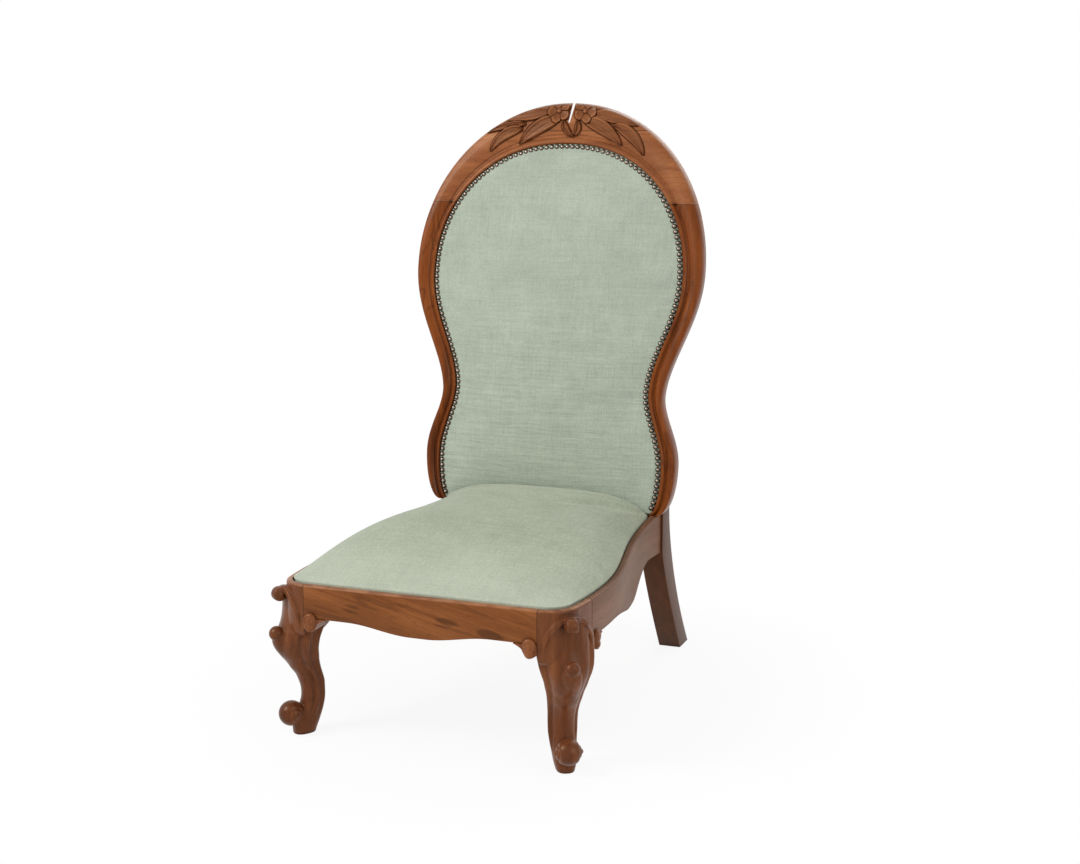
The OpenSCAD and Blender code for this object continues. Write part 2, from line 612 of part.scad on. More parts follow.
// Carving of the crest. A place on it is a share of its half width along the outer edge and a
// share of the way across the face. A leaf runs through three such places, and its half width is a
// share of crest_face; petals are short leaves round the two eyes
leaf_shares = [
    [-0.13, 0.17, -0.275, 0.15, -0.42, 0.05, 0.16], [-0.30, 0.34, -0.43, 0.19, -0.56, 0.05, 0.085],
    [-0.06, 0.38, -0.21, 0.45, -0.34, 0.80, 0.19], [-0.33, 0.44, -0.48, 0.29, -0.555, 0.60, 0.15],
    [0.205, 0.19, 0.345, 0.15, 0.495, 0.05, 0.16], [0.13, 0.38, 0.29, 0.44, 0.415, 0.73, 0.19],
    [0.36, 0.33, 0.505, 0.29, 0.585, 0.63, 0.17], [-0.015, 0.46, -0.01, 0.69, 0.05, 0.82, 0.075],
    [0.08, 0.44, 0.095, 0.64, 0.06, 0.79, 0.075]
];
eye_shares = [[-0.056, 0.18], [0.126, 0.17]];
petal_shares = [[-0.05, -0.09], [0.045, -0.085], [-0.035, 0.15], [0.036, 0.16]];
function crest_spot(k, s, e) = let (a = acos(pow(abs(k), outer_edge[5] / 2)))
    [e[0] * pow(cos(a), 2 / e[5]), e[6] + (e[4] - e[6]) * pow(sin(a), 2 / e[5])];
function crest_skin(k, s, lift) = let (
    o = crest_spot(k, s, outer_edge), i = crest_spot(k, s, inner_edge),
    p = mix(o, i, s), w = norm(i - o), roll = 1 - mould_share - mould_w / w
) [k < 0 ? -p[0] : p[0], back_y(p[1]) + back_t * lookup(s / roll, roll_shares) - lift, p[1]];
function bow(l, t) = [for (c = [0, 1]) mix(mix(l[c], l[c + 2], t), mix(l[c + 2], l[c + 4], t), t)];
// Section of a leaf: place across from -1 to 1, and share of carve_proud above the face
leaf_section = [[-1, -0.6], [-0.97, 0.4], [-0.5, 1], [0, 0.7], [0.5, 1], [0.97, 0.4], [1, -0.6]];
leaf_steps = 6;
function leaf_ring(l, t, blunt) = let (
    c = bow(l, t),
    d = bow(l, t + 0.01) - bow(l, t - 0.01),
    metric = [balloon_wide / 2, crest_face],
    along = [d[0] * metric[0], d[1] * metric[1]] / norm([d[0] * metric[0], d[1] * metric[1]]),
    half = l[6] * crest_face * pow(sin(180 * mix(0.05, 0.97, pow(t, blunt))), 0.65)
) [for (s = leaf_section)
    crest_skin(c[0] - along[1] * half * s[0] / metric[0],
        max(0.03, c[1] + along[0] * half * s[0] / metric[1]), carve_proud * s[1])];
module leaf(l, blunt) skin([for (k = [0:leaf_steps]) leaf_ring(l, k / leaf_steps, blunt)], 0, 6);
module crest_carving() {
    for (l = leaf_shares) leaf(l, 0.8);
    for (e = eye_shares) {
        for (p = petal_shares) leaf(concat(e, e + p * 0.8, e + p * 1.7, [0.15]), 1.4);
        translate(crest_skin(e[0], e[1], -over)) rotate([90, 0, 0])
            cylinder(h = carve_proud * 1.4 + over, r1 = carve_proud, r2 = carve_proud * 0.5, $fn = small_fn);
    }
}
module above_cap() translate([-balloon_wide, 0, cap_z]) cube([2 * balloon_wide, 2 * seat_depth, back_rise]);
module crest_rail() seated() color(walnut) difference() {
    union() {
        crest_body();
        crest_carving();
    }
    above_cap();
    back_dowel_set(hole_gap);
}
// A shrinkage crack runs down through the cap between the two flowers
crack_w = back_t * 0.11;
crack_x = crest_face * 0.16;
crack_deep = crest_face * 0.5;
crack_angle = 20;
module crest_cap() seated() color(walnut) difference() {
    intersection() {
        union() {
            crest_body();
            crest_carving();
        }
        above_cap();
    }
    translate([crack_x, 0, crest_top]) rotate([0, crack_angle, 0])
        translate([-crack_w / 2, 0, -crack_deep]) cube([crack_w, 2 * seat_depth, 2 * crack_deep]);
}

// The stiles' inner edge and the back's face, straight from station to station as the stiles are
inner_by_z = [for (z = stile_stations) [z, edge_x(z, inner_edge)]];
back_by_z = [for (z = stile_stations) [z, back_y(z)]];
module bottom_back_rail() seated() color(beech) difference() {
    top = foot_z + bottom_rail_h;
    skin([for (z = concat([for (s = stile_stations) if (s < top) s], [top]))
        let (x = lookup(z, inner_by_z) - ledge_w, y = lookup(z, back_by_z))
            [[-x, y + ledge_drop, z], [x, y + ledge_drop, z], [x, y + back_t, z], [-x, y + back_t, z]]]);
    back_dowel_set(hole_gap);
}

// Upholstery of the back: webbing, hessian, pad, nails and outside back

web_t = 1.2;
hessian_t = 0.8;
cover_t = 1.6;
pad_back_drop = ledge_drop - 2 * web_t - hessian_t - layer_gap;
nail_inset = nail_d / 2 + layer_gap;
layer_steps = stile_steps + crest_steps;
layer_z = [for (k = [0:layer_steps]) mix(foot_z, crest_top, k / layer_steps)];
module back_layer(front, back) rotate([90, 0, 90]) translate([0, 0, -balloon_wide])
    linear_extrude(2 * balloon_wide) polygon(concat(
        [for (z = layer_z) [back_y(z) + front, z]],
        [for (k = [layer_steps:-1:0]) [back_y(layer_z[k]) + back, layer_z[k]]]));
module back_shape(e) rotate([90, 0, 0]) translate([0, 0, -2 * seat_depth]) linear_extrude(2 * seat_depth)
    polygon(outline(e));

module back_webbing() seated() color(jute) intersection() {
    back_shape(shrunk(inner_edge, nail_inset * 2));
    union() {
        intersection() {
            back_layer(ledge_drop - hole_gap - web_t, ledge_drop - hole_gap);
            for (k = [-1:1]) translate([web_w * 1.9 * k - web_w / 2, 0, foot_z])
                cube([web_w, 2 * seat_depth, back_rise]);
        }
        intersection() {
            back_layer(ledge_drop - hole_gap - 2 * web_t, ledge_drop - hole_gap - web_t);
            for (k = [0:4]) translate([-balloon_wide, 0, foot_z + back_rise * 0.16 * (k + 0.55)])
                cube([2 * balloon_wide, 2 * seat_depth, web_w]);
        }
    }
}
module back_hessian() seated() color(jute) intersection() {
    back_shape(shrunk(inner_edge, layer_gap * 3));
    back_layer(pad_back_drop + layer_gap - hole_gap, pad_back_drop + layer_gap + hessian_t - hole_gap);
}

pad_columns = 16;
pad_swell_share = 0.25;
pad_edge_shape = shrunk(inner_edge, layer_gap);
pad_mid_z = foot_z + back_rise * 0.5;
pad_stations = concat(stile_stations,
    [for (k = [1:crest_steps]) crest_edge(min(k, crest_steps - 0.35) / crest_steps, pad_edge_shape)[1]]);
function pad_swell(z) = pow(unit((z - foot_z) / (back_rise * pad_swell_share)), 0.6)
    * (1 - pow(unit((z - pad_mid_z) / (pad_edge_shape[4] - pad_mid_z)), 4));
function pad_ring(z) = let (
    x = edge_x(z, pad_edge_shape), edge = pad_back_drop - pad_edge
) concat(
    [[-x, back_y(z) + pad_back_drop, z]],
    [for (k = [-pad_columns / 2:pad_columns / 2]) let (s = sin(180 * k / pad_columns))
        [x * s, back_y(z) + edge - back_crown * pad_swell(z) * (1 - pow(abs(s), 2.4)), z]],
    [[x, back_y(z) + pad_back_drop, z]]
);
module back_pad() seated() color(velvet) skin([for (z = pad_stations) pad_ring(z)]);

module outside_back() seated() color(velvet) difference() {
    intersection() {
        back_shape(shrunk(inner_edge, -nail_inset * 2));
        back_layer(back_t + 3 * layer_gap, back_t + 3 * layer_gap + cover_t);
    }
    for (side = [-1, 1]) mirrored(side) translate([rear_leg_in - layer_gap, 0, foot_z - over])
        cube([balloon_wide, 2 * seat_depth, post_rise + over + layer_gap]);
}

// Nails follow the pad's edge from the middle of the top down both sides, a pitch apart
nail_edge = shrunk(inner_edge, nail_inset);
nail_line = concat(
    [for (k = [4 * crest_steps:-1:1]) crest_edge(k / (4 * crest_steps), nail_edge)],
    [for (k = [len(stile_stations) - 1:-1:1]) let (z = stile_stations[k]) [edge_x(z, nail_edge), z]]
);
nail_run = [for (k = 0, d = 0; k < len(nail_line); d = d + norm(nail_line[min(k + 1, len(nail_line) - 1)]
    - nail_line[k]), k = k + 1) d];
nail_x_by_run = [for (k = [0:len(nail_line) - 1]) [nail_run[k], nail_line[k][0]]];
nail_z_by_run = [for (k = [0:len(nail_line) - 1]) [nail_run[k], nail_line[k][1]]];
nail_count = floor(nail_run[len(nail_run) - 1] / nail_pitch - 0.5);
nail_h = nail_d / 3;
nail_len = nail_d * 1.15;
nail_shank_r = nail_d / 12;
module nail() {
    translate([0, 0, -nail_len]) cylinder(h = nail_len + nail_h / 4, r = nail_shank_r, $fn = small_fn);
    cylinder(h = nail_h * 0.5, r1 = nail_d / 2, r2 = nail_d * 0.4, $fn = small_fn);
    translate([0, 0, nail_h * 0.5])
        cylinder(h = nail_h * 0.5, r1 = nail_d * 0.4, r2 = nail_d * 0.15, $fn = small_fn);
}
module back_nails() seated() color(brass) for (side = [-1, 1]) for (k = [0:nail_count - 1]) {
    d = nail_pitch * (k + 0.5);
    z = lookup(d, nail_z_by_run);
    translate([side * lookup(d, nail_x_by_run), back_y(z) + pad_back_drop - pad_edge, z])
        rotate([90 - back_tilt(z), 0, 0]) nail();
}

// Corner blocks, set behind the front legs' blocks

block_low = seat_top - front_arch_drop + 2 * hole_gap;
block_high = ledge_z - 3 * over;
block_run = 3;
front_block_x = corner_x * 0.66;
rear_block_x = corner_x * 0.56;
module front_block(side) seated() color(beech) mirrored(side) difference() {
    translate([0, 0, block_low]) linear_extrude(block_high - block_low) polygon(concat(
        [[front_block_x, rail_t], [corner_x, rail_t], [corner_x, leg_block_len]],
        inner_run(leg_block_len, rail_stations[block_run])));
    block_screw_set(hole_gap);
}
module front_left_block() front_block(-1);
module front_right_block() front_block(1);
module rear_block(side) seated() color(beech) mirrored(side) difference() {
    translate([0, 0, rear_arch_z]) linear_extrude(block_high - rear_arch_z) polygon(concat(
        inner_run(rail_stations[side_steps - block_run], seat_depth - rail_t),
        [[rear_block_x, seat_depth - rail_t]]));
    block_screw_set(hole_gap);
}
module rear_left_block() rear_block(-1);
module rear_right_block() rear_block(1);

// Dowels and screws: each set is a group of solids, and grown by a gap it cuts its own holes

module dowel(d, length, gap) cylinder(h = length + 2 * gap, r = d / 2 + gap, center = true, $fn = round_fn);
module both_sides() for (side = [-1, 1]) mirrored(side) children();
module seat_dowel_set(gap) both_sides() {
    for (s = [0.25, 0.75]) {
        translate([corner_x, rail_t / 2, mix(seat_top - front_arch_drop, ledge_z, s)])
            rotate([0, 90, 0]) dowel(dowel_d, dowel_len, gap);
        translate([side_x(leg_block_len) - rail_t / 2, leg_block_len,
            mix(seat_top - side_arch_drop, ledge_z, s)])
                rotate([90, 0, 0]) dowel(dowel_d, dowel_len, gap);
    }
    end_x = side_x(rear_face_y);
    for (s = [0.3, 0.78]) translate([end_x - rail_t / 2, rear_face_y, mix(rear_arch_z, foot_z, s)])
        rotate([90, 0, 0]) dowel(dowel_d, dowel_len, gap);
    for (s = [0.12, 0.55])
        translate([end_x - rail_t, seat_depth + back_t / 2, mix(rear_arch_z, foot_z, s)])
            rotate([0, 90, 0]) dowel(dowel_d, dowel_len, gap);
}
module seat_dowels() seated() color(beech) seat_dowel_set(0);

crest_dowel_places = let (o = edge_x(crest_joint_z, outer_edge), i = edge_x(crest_joint_z, inner_edge))
    [[(o + i) / 2, back_t / 2], [i - ledge_w / 2, (ledge_drop + back_t) / 2]];
module back_dowel_set(gap) both_sides() {
    for (p = crest_dowel_places) translate([p[0], back_y(crest_joint_z) + p[1], crest_joint_z])
        rotate([-back_tilt(crest_joint_z), 0, 0]) dowel(crest_dowel_d, crest_dowel_len, gap);
    for (s = [0.25, 0.62]) let (z = foot_z + bottom_rail_h * s)
        translate([edge_x(z, inner_edge) - ledge_w, back_y(z) + (ledge_drop + back_t) / 2, z])
            rotate([0, 90, 0]) dowel(crest_dowel_d, dowel_len, gap);
}
module back_dowels() seated() color(beech) back_dowel_set(0);

// A slotted screw along +Z with its tip at the origin; with a gap it is the hole and its counterbore
module screw(length, gap) {
    cylinder(h = length, r = screw_d / 2 + gap, $fn = round_fn);
    if (gap > 0) translate([0, 0, length - gap])
        cylinder(h = screw_d * 9, r = screw_d + gap, $fn = round_fn);
    else translate([0, 0, length]) difference() {
        cylinder(h = screw_d * 0.8, r = screw_d, $fn = round_fn);
        translate([-screw_d, -screw_d / 8, screw_d / 2]) cube([2 * screw_d, screw_d / 4, screw_d]);
    }
}
screw_hold = 13;
module block_screw_set(gap) both_sides() {
    front_z = (block_low + block_high) / 2;
    rear_z = (rear_arch_z + block_high) / 2;
    side_y = mix(rail_stations[0], rail_stations[block_run], 0.4);
    back_side_y = mix(rail_stations[side_steps - block_run], rail_stations[side_steps], 0.45);
    translate([corner_x * 0.84, rail_t - screw_bite, front_z]) rotate([-90, 0, 0])
        screw(screw_bite + screw_hold, gap);
    translate([side_x(side_y) - rail_t + screw_bite, side_y, front_z]) rotate([0, -90, 0])
        screw(screw_bite + screw_hold, gap);
    translate([corner_x * 0.72, seat_depth - rail_t + screw_bite, rear_z]) rotate([90, 0, 0])
        screw(screw_bite + screw_hold, gap);
    translate([side_x(back_side_y) - rail_t + screw_bite, back_side_y, rear_z]) rotate([0, -90, 0])
        screw(screw_bite + screw_hold, gap);
}
module block_screws() seated() color(steel) block_screw_set(0);

module post_screw_set(gap) both_sides() for (s = [0.42, 0.8]) {
    z = foot_z + post_rise * s;
    tip = back_y(z) + back_t - screw_bite * 0.8;
    translate([rear_leg_out - rear_leg_w * 0.4, tip, z]) rotate([-90, 0, 0])
        screw(sabre_rear(z) - tip - screw_d * 1.5, gap);
}
module post_screws() seated() color(steel) post_screw_set(0);

// Drop-in seat: a dowelled frame with webbing, hessian, cushion and base cloth

drop_inset = lip_w + seat_gap;
drop_back_y = seat_depth - seat_gap / 2;
drop_z = ledge_z + layer_gap;
drop_top = drop_z + drop_frame_t;
drop_front_y = drop_inset + drop_frame_w;
drop_rear_y = drop_back_y - drop_frame_w;
module drop_board(y0, y1) color(beech) translate([0, 0, drop_z])
    linear_extrude(drop_frame_t) intersection() {
        polygon(plan(drop_inset, drop_back_y));
        translate([-seat_wide, y0]) square([2 * seat_wide, y1 - y0]);
    }
module drop_seat_front() seated() difference() {
    drop_board(0, drop_front_y);
    drop_dowel_set(hole_gap);
}
module drop_seat_rear() seated() difference() {
    drop_board(drop_rear_y, seat_depth);
    drop_dowel_set(hole_gap);
}
drop_stations = [for (k = [0:12]) mix(drop_front_y, drop_rear_y, k / 12)];
module drop_side(side) seated() color(beech) mirrored(side) difference() {
    translate([0, 0, drop_z]) linear_extrude(drop_frame_t) polygon(concat(
        [for (y = drop_stations) [side_point(y, drop_inset)[0], y]],
        [for (k = [12:-1:0]) let (y = drop_stations[k]) [side_x(y) - drop_inset - drop_frame_w, y]]));
    drop_dowel_set(hole_gap);
}
module drop_seat_left() drop_side(-1);
module drop_seat_right() drop_side(1);
module drop_dowel_set(gap) both_sides() for (y = [drop_front_y, drop_rear_y]) for (s = [0.3, 0.7])
    translate([side_x(y) - drop_inset - drop_frame_w * s, y, (drop_z + drop_top) / 2])
        rotate([90, 0, 0]) dowel(crest_dowel_d, dowel_len, gap);
module drop_seat_dowels() seated() color(beech) drop_dowel_set(0);

module seat_webbing() seated() color(jute) {
    translate([0, 0, drop_top]) linear_extrude(web_t) intersection() {
        polygon(plan(drop_inset + nail_d, drop_back_y - nail_d));
        for (k = [-1.5:1.5]) translate([web_w * 1.5 * k - web_w / 2, 0]) square([web_w, seat_depth]);
    }
    translate([0, 0, drop_top + web_t]) linear_extrude(web_t) intersection() {
        polygon(plan(drop_inset + nail_d, drop_back_y - nail_d));
        for (k = [0:3]) translate([-seat_wide, seat_depth * (0.13 + 0.2 * k)])
            square([2 * seat_wide, web_w]);
    }
}
module seat_hessian() seated() color(jute) translate([0, 0, drop_top + 2 * web_t])
    linear_extrude(hessian_t) polygon(plan(drop_inset + nail_d / 2, drop_back_y - nail_d / 2));
// The cloth stops short of the rails and of the front legs' blocks
module seat_base_cloth() seated() color(lining) translate([0, 0, drop_z - hessian_t])
    linear_extrude(hessian_t) difference() {
        polygon(plan(rail_t + 2 * over, seat_depth - rail_t - 2 * over));
        for (side = [-1, 1]) mirrored(side) translate([corner_x - 2 * over, 0])
            square([seat_wide, leg_block_len + 2 * over]);
    }

cushion_low = drop_top + 2 * web_t + hessian_t + layer_gap;
cushion_lip = 3;
cushion_columns = 16;
cushion_peak_share = 0.62;
function cushion_half(y) = y < corner_r
    ? corner_x + sqrt(max(0, pow(corner_r - drop_inset, 2) - pow(corner_r - y, 2)))
    : side_x(y) - drop_inset;
function cushion_rise(y) = let (peak = seat_depth * cushion_peak_share) y < peak
    ? seat_crown * (1 - pow((peak - y) / (peak - drop_inset), 2.6))
    : mix(seat_crown, seat_back_crown, pow((y - peak) / (drop_back_y - peak), 2));
cushion_stations = concat(
    [for (a = [0:18:90]) corner_r - (corner_r - drop_inset) * cos(a)],
    [for (k = [1:12]) mix(corner_r, drop_back_y, k / 12)]
);
function cushion_ring(y) = let (x = cushion_half(y), edge = rail_top(y) + cushion_lip) concat(
    [[-x + lip_w * 0.3, y, cushion_low]],
    [for (k = [-cushion_columns / 2:cushion_columns / 2]) let (s = sin(180 * k / cushion_columns))
        [x * s, y, edge + cushion_rise(y) * pow(1 - pow(abs(s), 5), 0.8)]],
    [[x - lip_w * 0.3, y, cushion_low]]
);
module seat_cushion() seated() color(seat_velvet) skin([for (y = cushion_stations) cushion_ring(y)]);

front_rail();
left_side_rail();
right_side_rail();
rear_seat_rail();
front_left_leg();
front_right_leg();
rear_left_leg();
rear_right_leg();
front_left_ear();
front_right_ear();
side_left_ear();
side_right_ear();
front_left_block();
front_right_block();
rear_left_block();
rear_right_block();
left_stile();
right_stile();
bottom_back_rail();
crest_rail();
crest_cap();
seat_dowels();
back_dowels();
block_screws();
post_screws();
back_webbing();
back_hessian();
back_pad();
back_nails();
outside_back();
drop_seat_front();
drop_seat_rear();
drop_seat_left();
drop_seat_right();
drop_seat_dowels();
seat_webbing();
seat_hessian();
seat_cushion();
seat_base_cloth();
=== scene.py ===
"""Looks of a low balloon back nursing chair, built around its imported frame.

Every piece is in metres in the frame's own axes: +Z up, the chair faces -Y, and the floor is
z = 0. Wooden surfaces that curve are worked out again here as fine grids, from the same driving
sizes as the solids, and soft pieces are modelled as upholstery. A shell is a closed surface as
points and faces, and the right-hand pieces are mirrored for the left.
"""
from __future__ import annotations

import json
import logging
import math
from dataclasses import dataclass, field
from enum import Enum
from typing import Sequence

import bmesh
import bpy
import numpy as np
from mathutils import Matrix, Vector

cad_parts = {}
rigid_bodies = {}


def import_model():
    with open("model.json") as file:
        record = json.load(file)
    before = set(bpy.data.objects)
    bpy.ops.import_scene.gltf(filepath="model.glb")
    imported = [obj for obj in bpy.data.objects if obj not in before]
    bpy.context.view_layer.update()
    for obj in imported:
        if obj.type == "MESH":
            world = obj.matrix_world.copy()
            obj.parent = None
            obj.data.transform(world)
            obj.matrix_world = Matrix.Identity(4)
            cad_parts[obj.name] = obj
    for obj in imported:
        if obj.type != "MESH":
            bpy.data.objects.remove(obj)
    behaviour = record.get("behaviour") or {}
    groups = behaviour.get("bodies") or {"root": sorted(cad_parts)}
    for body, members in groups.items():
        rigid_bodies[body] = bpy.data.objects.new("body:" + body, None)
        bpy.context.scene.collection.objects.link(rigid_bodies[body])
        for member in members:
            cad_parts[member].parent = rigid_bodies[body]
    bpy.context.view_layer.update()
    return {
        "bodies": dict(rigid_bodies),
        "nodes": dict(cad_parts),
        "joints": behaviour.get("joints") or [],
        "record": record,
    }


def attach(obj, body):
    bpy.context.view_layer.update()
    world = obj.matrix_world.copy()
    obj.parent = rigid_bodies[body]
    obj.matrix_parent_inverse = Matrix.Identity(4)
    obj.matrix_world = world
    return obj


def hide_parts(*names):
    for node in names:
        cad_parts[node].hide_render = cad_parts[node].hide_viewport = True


LOG = logging.getLogger("nursing_chair")
SIDES = ((1.0, "right"), (-1.0, "left"))
Array = np.ndarray
Shell = tuple[Array, list[list[int]]]
Colour = tuple[float, float, float]


class Grain(Enum):
    """Direction in which the wood's fibres run."""

    ACROSS = (0.07, 1.0, 1.0)
    DEEP = (1.0, 0.07, 1.0)
    UPRIGHT = (1.0, 1.0, 0.07)


@dataclass(frozen=True)
class Sizes:
    """Driving sizes of the chair in metres and degrees; y counts from the front rail's face."""

    seat_top: float = 0.258
    seat_depth: float = 0.542
    seat_wide: float = 0.505
    seat_front_wide: float = 0.492
    seat_narrow: float = 0.414
    corner_r: float = 0.050
    rail_t: float = 0.028
    lip_w: float = 0.010
    lip_r: float = 0.0045
    rail_rise: float = 0.027
    rebate_deep: float = 0.026
    side_arch_drop: float = 0.061
    side_belly_drop: float = 0.095
    rear_arch_drop: float = 0.046
    front_drop: float = 0.065
    front_arch_drop: float = 0.053
    leg_block_len: float = 0.091
    foot_inset: float = 0.0215
    foot_setback: float = 0.0435
    leg_turn: float = 56.0
    knee_reach: float = 0.054
    knee_wide: float = 0.088
    toe_r: float = 0.0205
    bud_r: float = 0.012
    scroll_r: float = 0.012
    hood_w: float = 0.010
    hood_proud: float = 0.005
    ear_r: float = 0.012
    ear_proud: float = 0.007
    crest_face: float = 0.073
    carve_proud: float = 0.004
    back_rise: float = 0.725
    back_t: float = 0.027
    ledge_w: float = 0.028
    ledge_drop: float = 0.012
    balloon_wide: float = 0.549
    waist_wide: float = 0.425
    bulge_wide: float = 0.484
    balloon_rise: float = 0.430
    waist_rise: float = 0.205
    bulge_rise: float = 0.087
    shoulder_face: float = 0.036
    waist_face: float = 0.0265
    bulge_face: float = 0.027
    foot_face: float = 0.018
    mould_w: float = 0.009
    back_lean: float = 5.7
    bend_rise: float = 0.275
    bend_r: float = 2.2
    crest_joint_rise: float = 0.547
    cap_rise: float = 0.675
    foot_wide: float = 0.424
    rear_leg_w: float = 0.041
    rear_leg_proud: float = 0.004
    rear_leg_t: float = 0.044
    rear_rake: float = 0.123
    rear_foot_len: float = 0.055
    post_rise: float = 0.135
    post_top_t: float = 0.016
    back_crown: float = 0.018
    pad_edge: float = 0.0045
    pad_gap: float = 0.0003
    pad_bed: float = 0.0035
    seat_crown: float = 0.068
    seat_back_crown: float = 0.034
    seat_gap: float = 0.0015
    nail_d: float = 0.0096
    nail_pitch: float = 0.010
    middle_y: float = 0.370

    @property
    def foot_z(self) -> float:
        """Height of the back's foot."""
        return self.seat_top + self.rail_rise

    @property
    def crest_top(self) -> float:
        """Height of the crest's top."""
        return self.foot_z + self.back_rise

    @property
    def joint_z(self) -> float:
        """Height of the joint between stiles and crest."""
        return self.foot_z + self.crest_joint_rise

    @property
    def cap_z(self) -> float:
        """Height of the crest cap's glue line."""
        return self.foot_z + self.cap_rise

    @property
    def ledge_z(self) -> float:
        """Height of the rebate that carries the drop-in seat."""
        return self.seat_top - self.rebate_deep

    @property
    def ear_low(self) -> float:
        """Height of the front knee ears' lower end, where the stem meets the block."""
        return self.seat_top - self.front_arch_drop - 1.8 * self.ear_r

    @property
    def rear_face_y(self) -> float:
        """Depth at which the back frame ends at its foot."""
        return self.seat_depth + self.back_t

    @property
    def corner_x(self) -> float:
        """Distance from the middle to the centre of the front corner's curve."""
        return self.seat_front_wide / 2 - self.corner_r


S = Sizes()


def mix(a: Array | float, b: Array | float, t: Array | float) -> Array | float:
    """Straight blend from a to b."""
    return a + (b - a) * t


def unit(t: Array | float) -> Array:
    """Values held between 0 and 1."""
    return np.clip(t, 0.0, 1.0)


def ease(t: Array | float) -> Array:
    """Half a cosine wave from 0 to 1."""
    return (1 - np.cos(np.pi * unit(t))) / 2


def hump(t: Array | float, width: float) -> Array:
    """Bell curve of height 1 at t = 0."""
    return np.exp(-np.square(np.asarray(t) / width))


def smooth_table(x: Array, xs: Sequence[float], ys: Sequence[float]) -> Array:
    """Smooth curve through a short table: cubic pieces whose slopes join neighbouring points.

    Args:
        x: Places to read.
        xs: Rising places in the table.
        ys: Values at those places.

    Returns:
        The curve's values at x.
    """
    xs, ys = np.asarray(xs, float), np.asarray(ys, float)
    slope = np.gradient(ys, xs)
    k = np.clip(np.searchsorted(xs, x) - 1, 0, len(xs) - 2)
    h = xs[k + 1] - xs[k]
    t = np.clip((x - xs[k]) / h, 0, 1)
    return ((1 + 2 * t) * (1 - t) ** 2 * ys[k] + t * (1 - t) ** 2 * h * slope[k]
            + t ** 2 * (3 - 2 * t) * ys[k + 1] + t ** 2 * (t - 1) * h * slope[k + 1])


def shaded(colour: Colour, share: float) -> Colour:
    """A colour darkened or lightened to a share of itself."""
    return tuple(min(1.0, c * share) for c in colour)


def run_along(*line: Array) -> Array:
    """Distance run at each point of a line, from one array of places for each of its axes."""
    steps = np.linalg.norm(np.diff(np.stack(line, -1), axis=0), axis=1)
    return np.concatenate([[0.0], np.cumsum(steps)])


def placed(points: Array) -> Array:
    """Moves points from the sizes' own y to the frame's, whose origin is under the middle."""
    return points - np.array([0.0, S.middle_y, 0.0])


def unplaced(points: Array) -> Array:
    """Moves points back from the frame's y to the sizes' own."""
    return points + np.array([0.0, S.middle_y, 0.0])


def back_y(z: Array | float) -> Array:
    """Depth of the back's face at a height: a lean, then a curve that squares with height."""
    bend = np.maximum(0.0, z - (S.foot_z + S.bend_rise))
    lean = math.tan(math.radians(S.back_lean))
    return S.seat_depth + lean * (z - S.foot_z) + bend ** 2 / (2 * S.bend_r)


def side_x(y: Array) -> Array:
    """Half width of the seat frame at a depth: a slow swell, then a cosine in to the back."""
    y = np.asarray(y, float)
    y_wide, y_narrow = S.seat_depth * 0.277, S.seat_depth * 0.886
    front = mix(S.seat_wide, S.seat_front_wide, unit((y_wide - y) / (y_wide - S.corner_r)) ** 2.2)
    middle = mix(S.seat_wide, S.seat_narrow, ease(unit((y - y_wide) / (y_narrow - y_wide)) ** 1.12))
    rear = mix(S.seat_narrow, S.foot_wide, unit((y - y_narrow) / (S.rear_face_y - y_narrow)) ** 2)
    return np.where(y < y_wide, front, np.where(y < y_narrow, middle, rear)) / 2


def side_slope(y: Array) -> Array:
    """Slope of the seat frame's side at a depth, from two places beside it."""
    near = 5e-4
    return (side_x(y + near) - side_x(y - near)) / (2 * near)


def rail_top(y: Array) -> Array:
    """Height of the side rail's top, which sweeps up to the back's foot as a power curve."""
    sweep = unit((y - S.seat_depth * 0.636) / (S.seat_depth * 0.364))
    return S.seat_top + S.rail_rise * sweep ** 1.5


def rail_low(y: Array) -> Array:
    """Height of the side rail's lower edge: cosines from an arch to the belly and to an arch."""
    t = y / S.seat_depth
    arch_end, belly, arch_start = 0.345, 0.758, 0.96
    ahead = mix(S.side_arch_drop, S.side_belly_drop, ease((t - arch_end) / (belly - arch_end)))
    behind = mix(S.side_belly_drop, S.rear_arch_drop, ease((t - belly) / (arch_start - belly)))
    return S.seat_top - np.where(t < belly, ahead, behind)


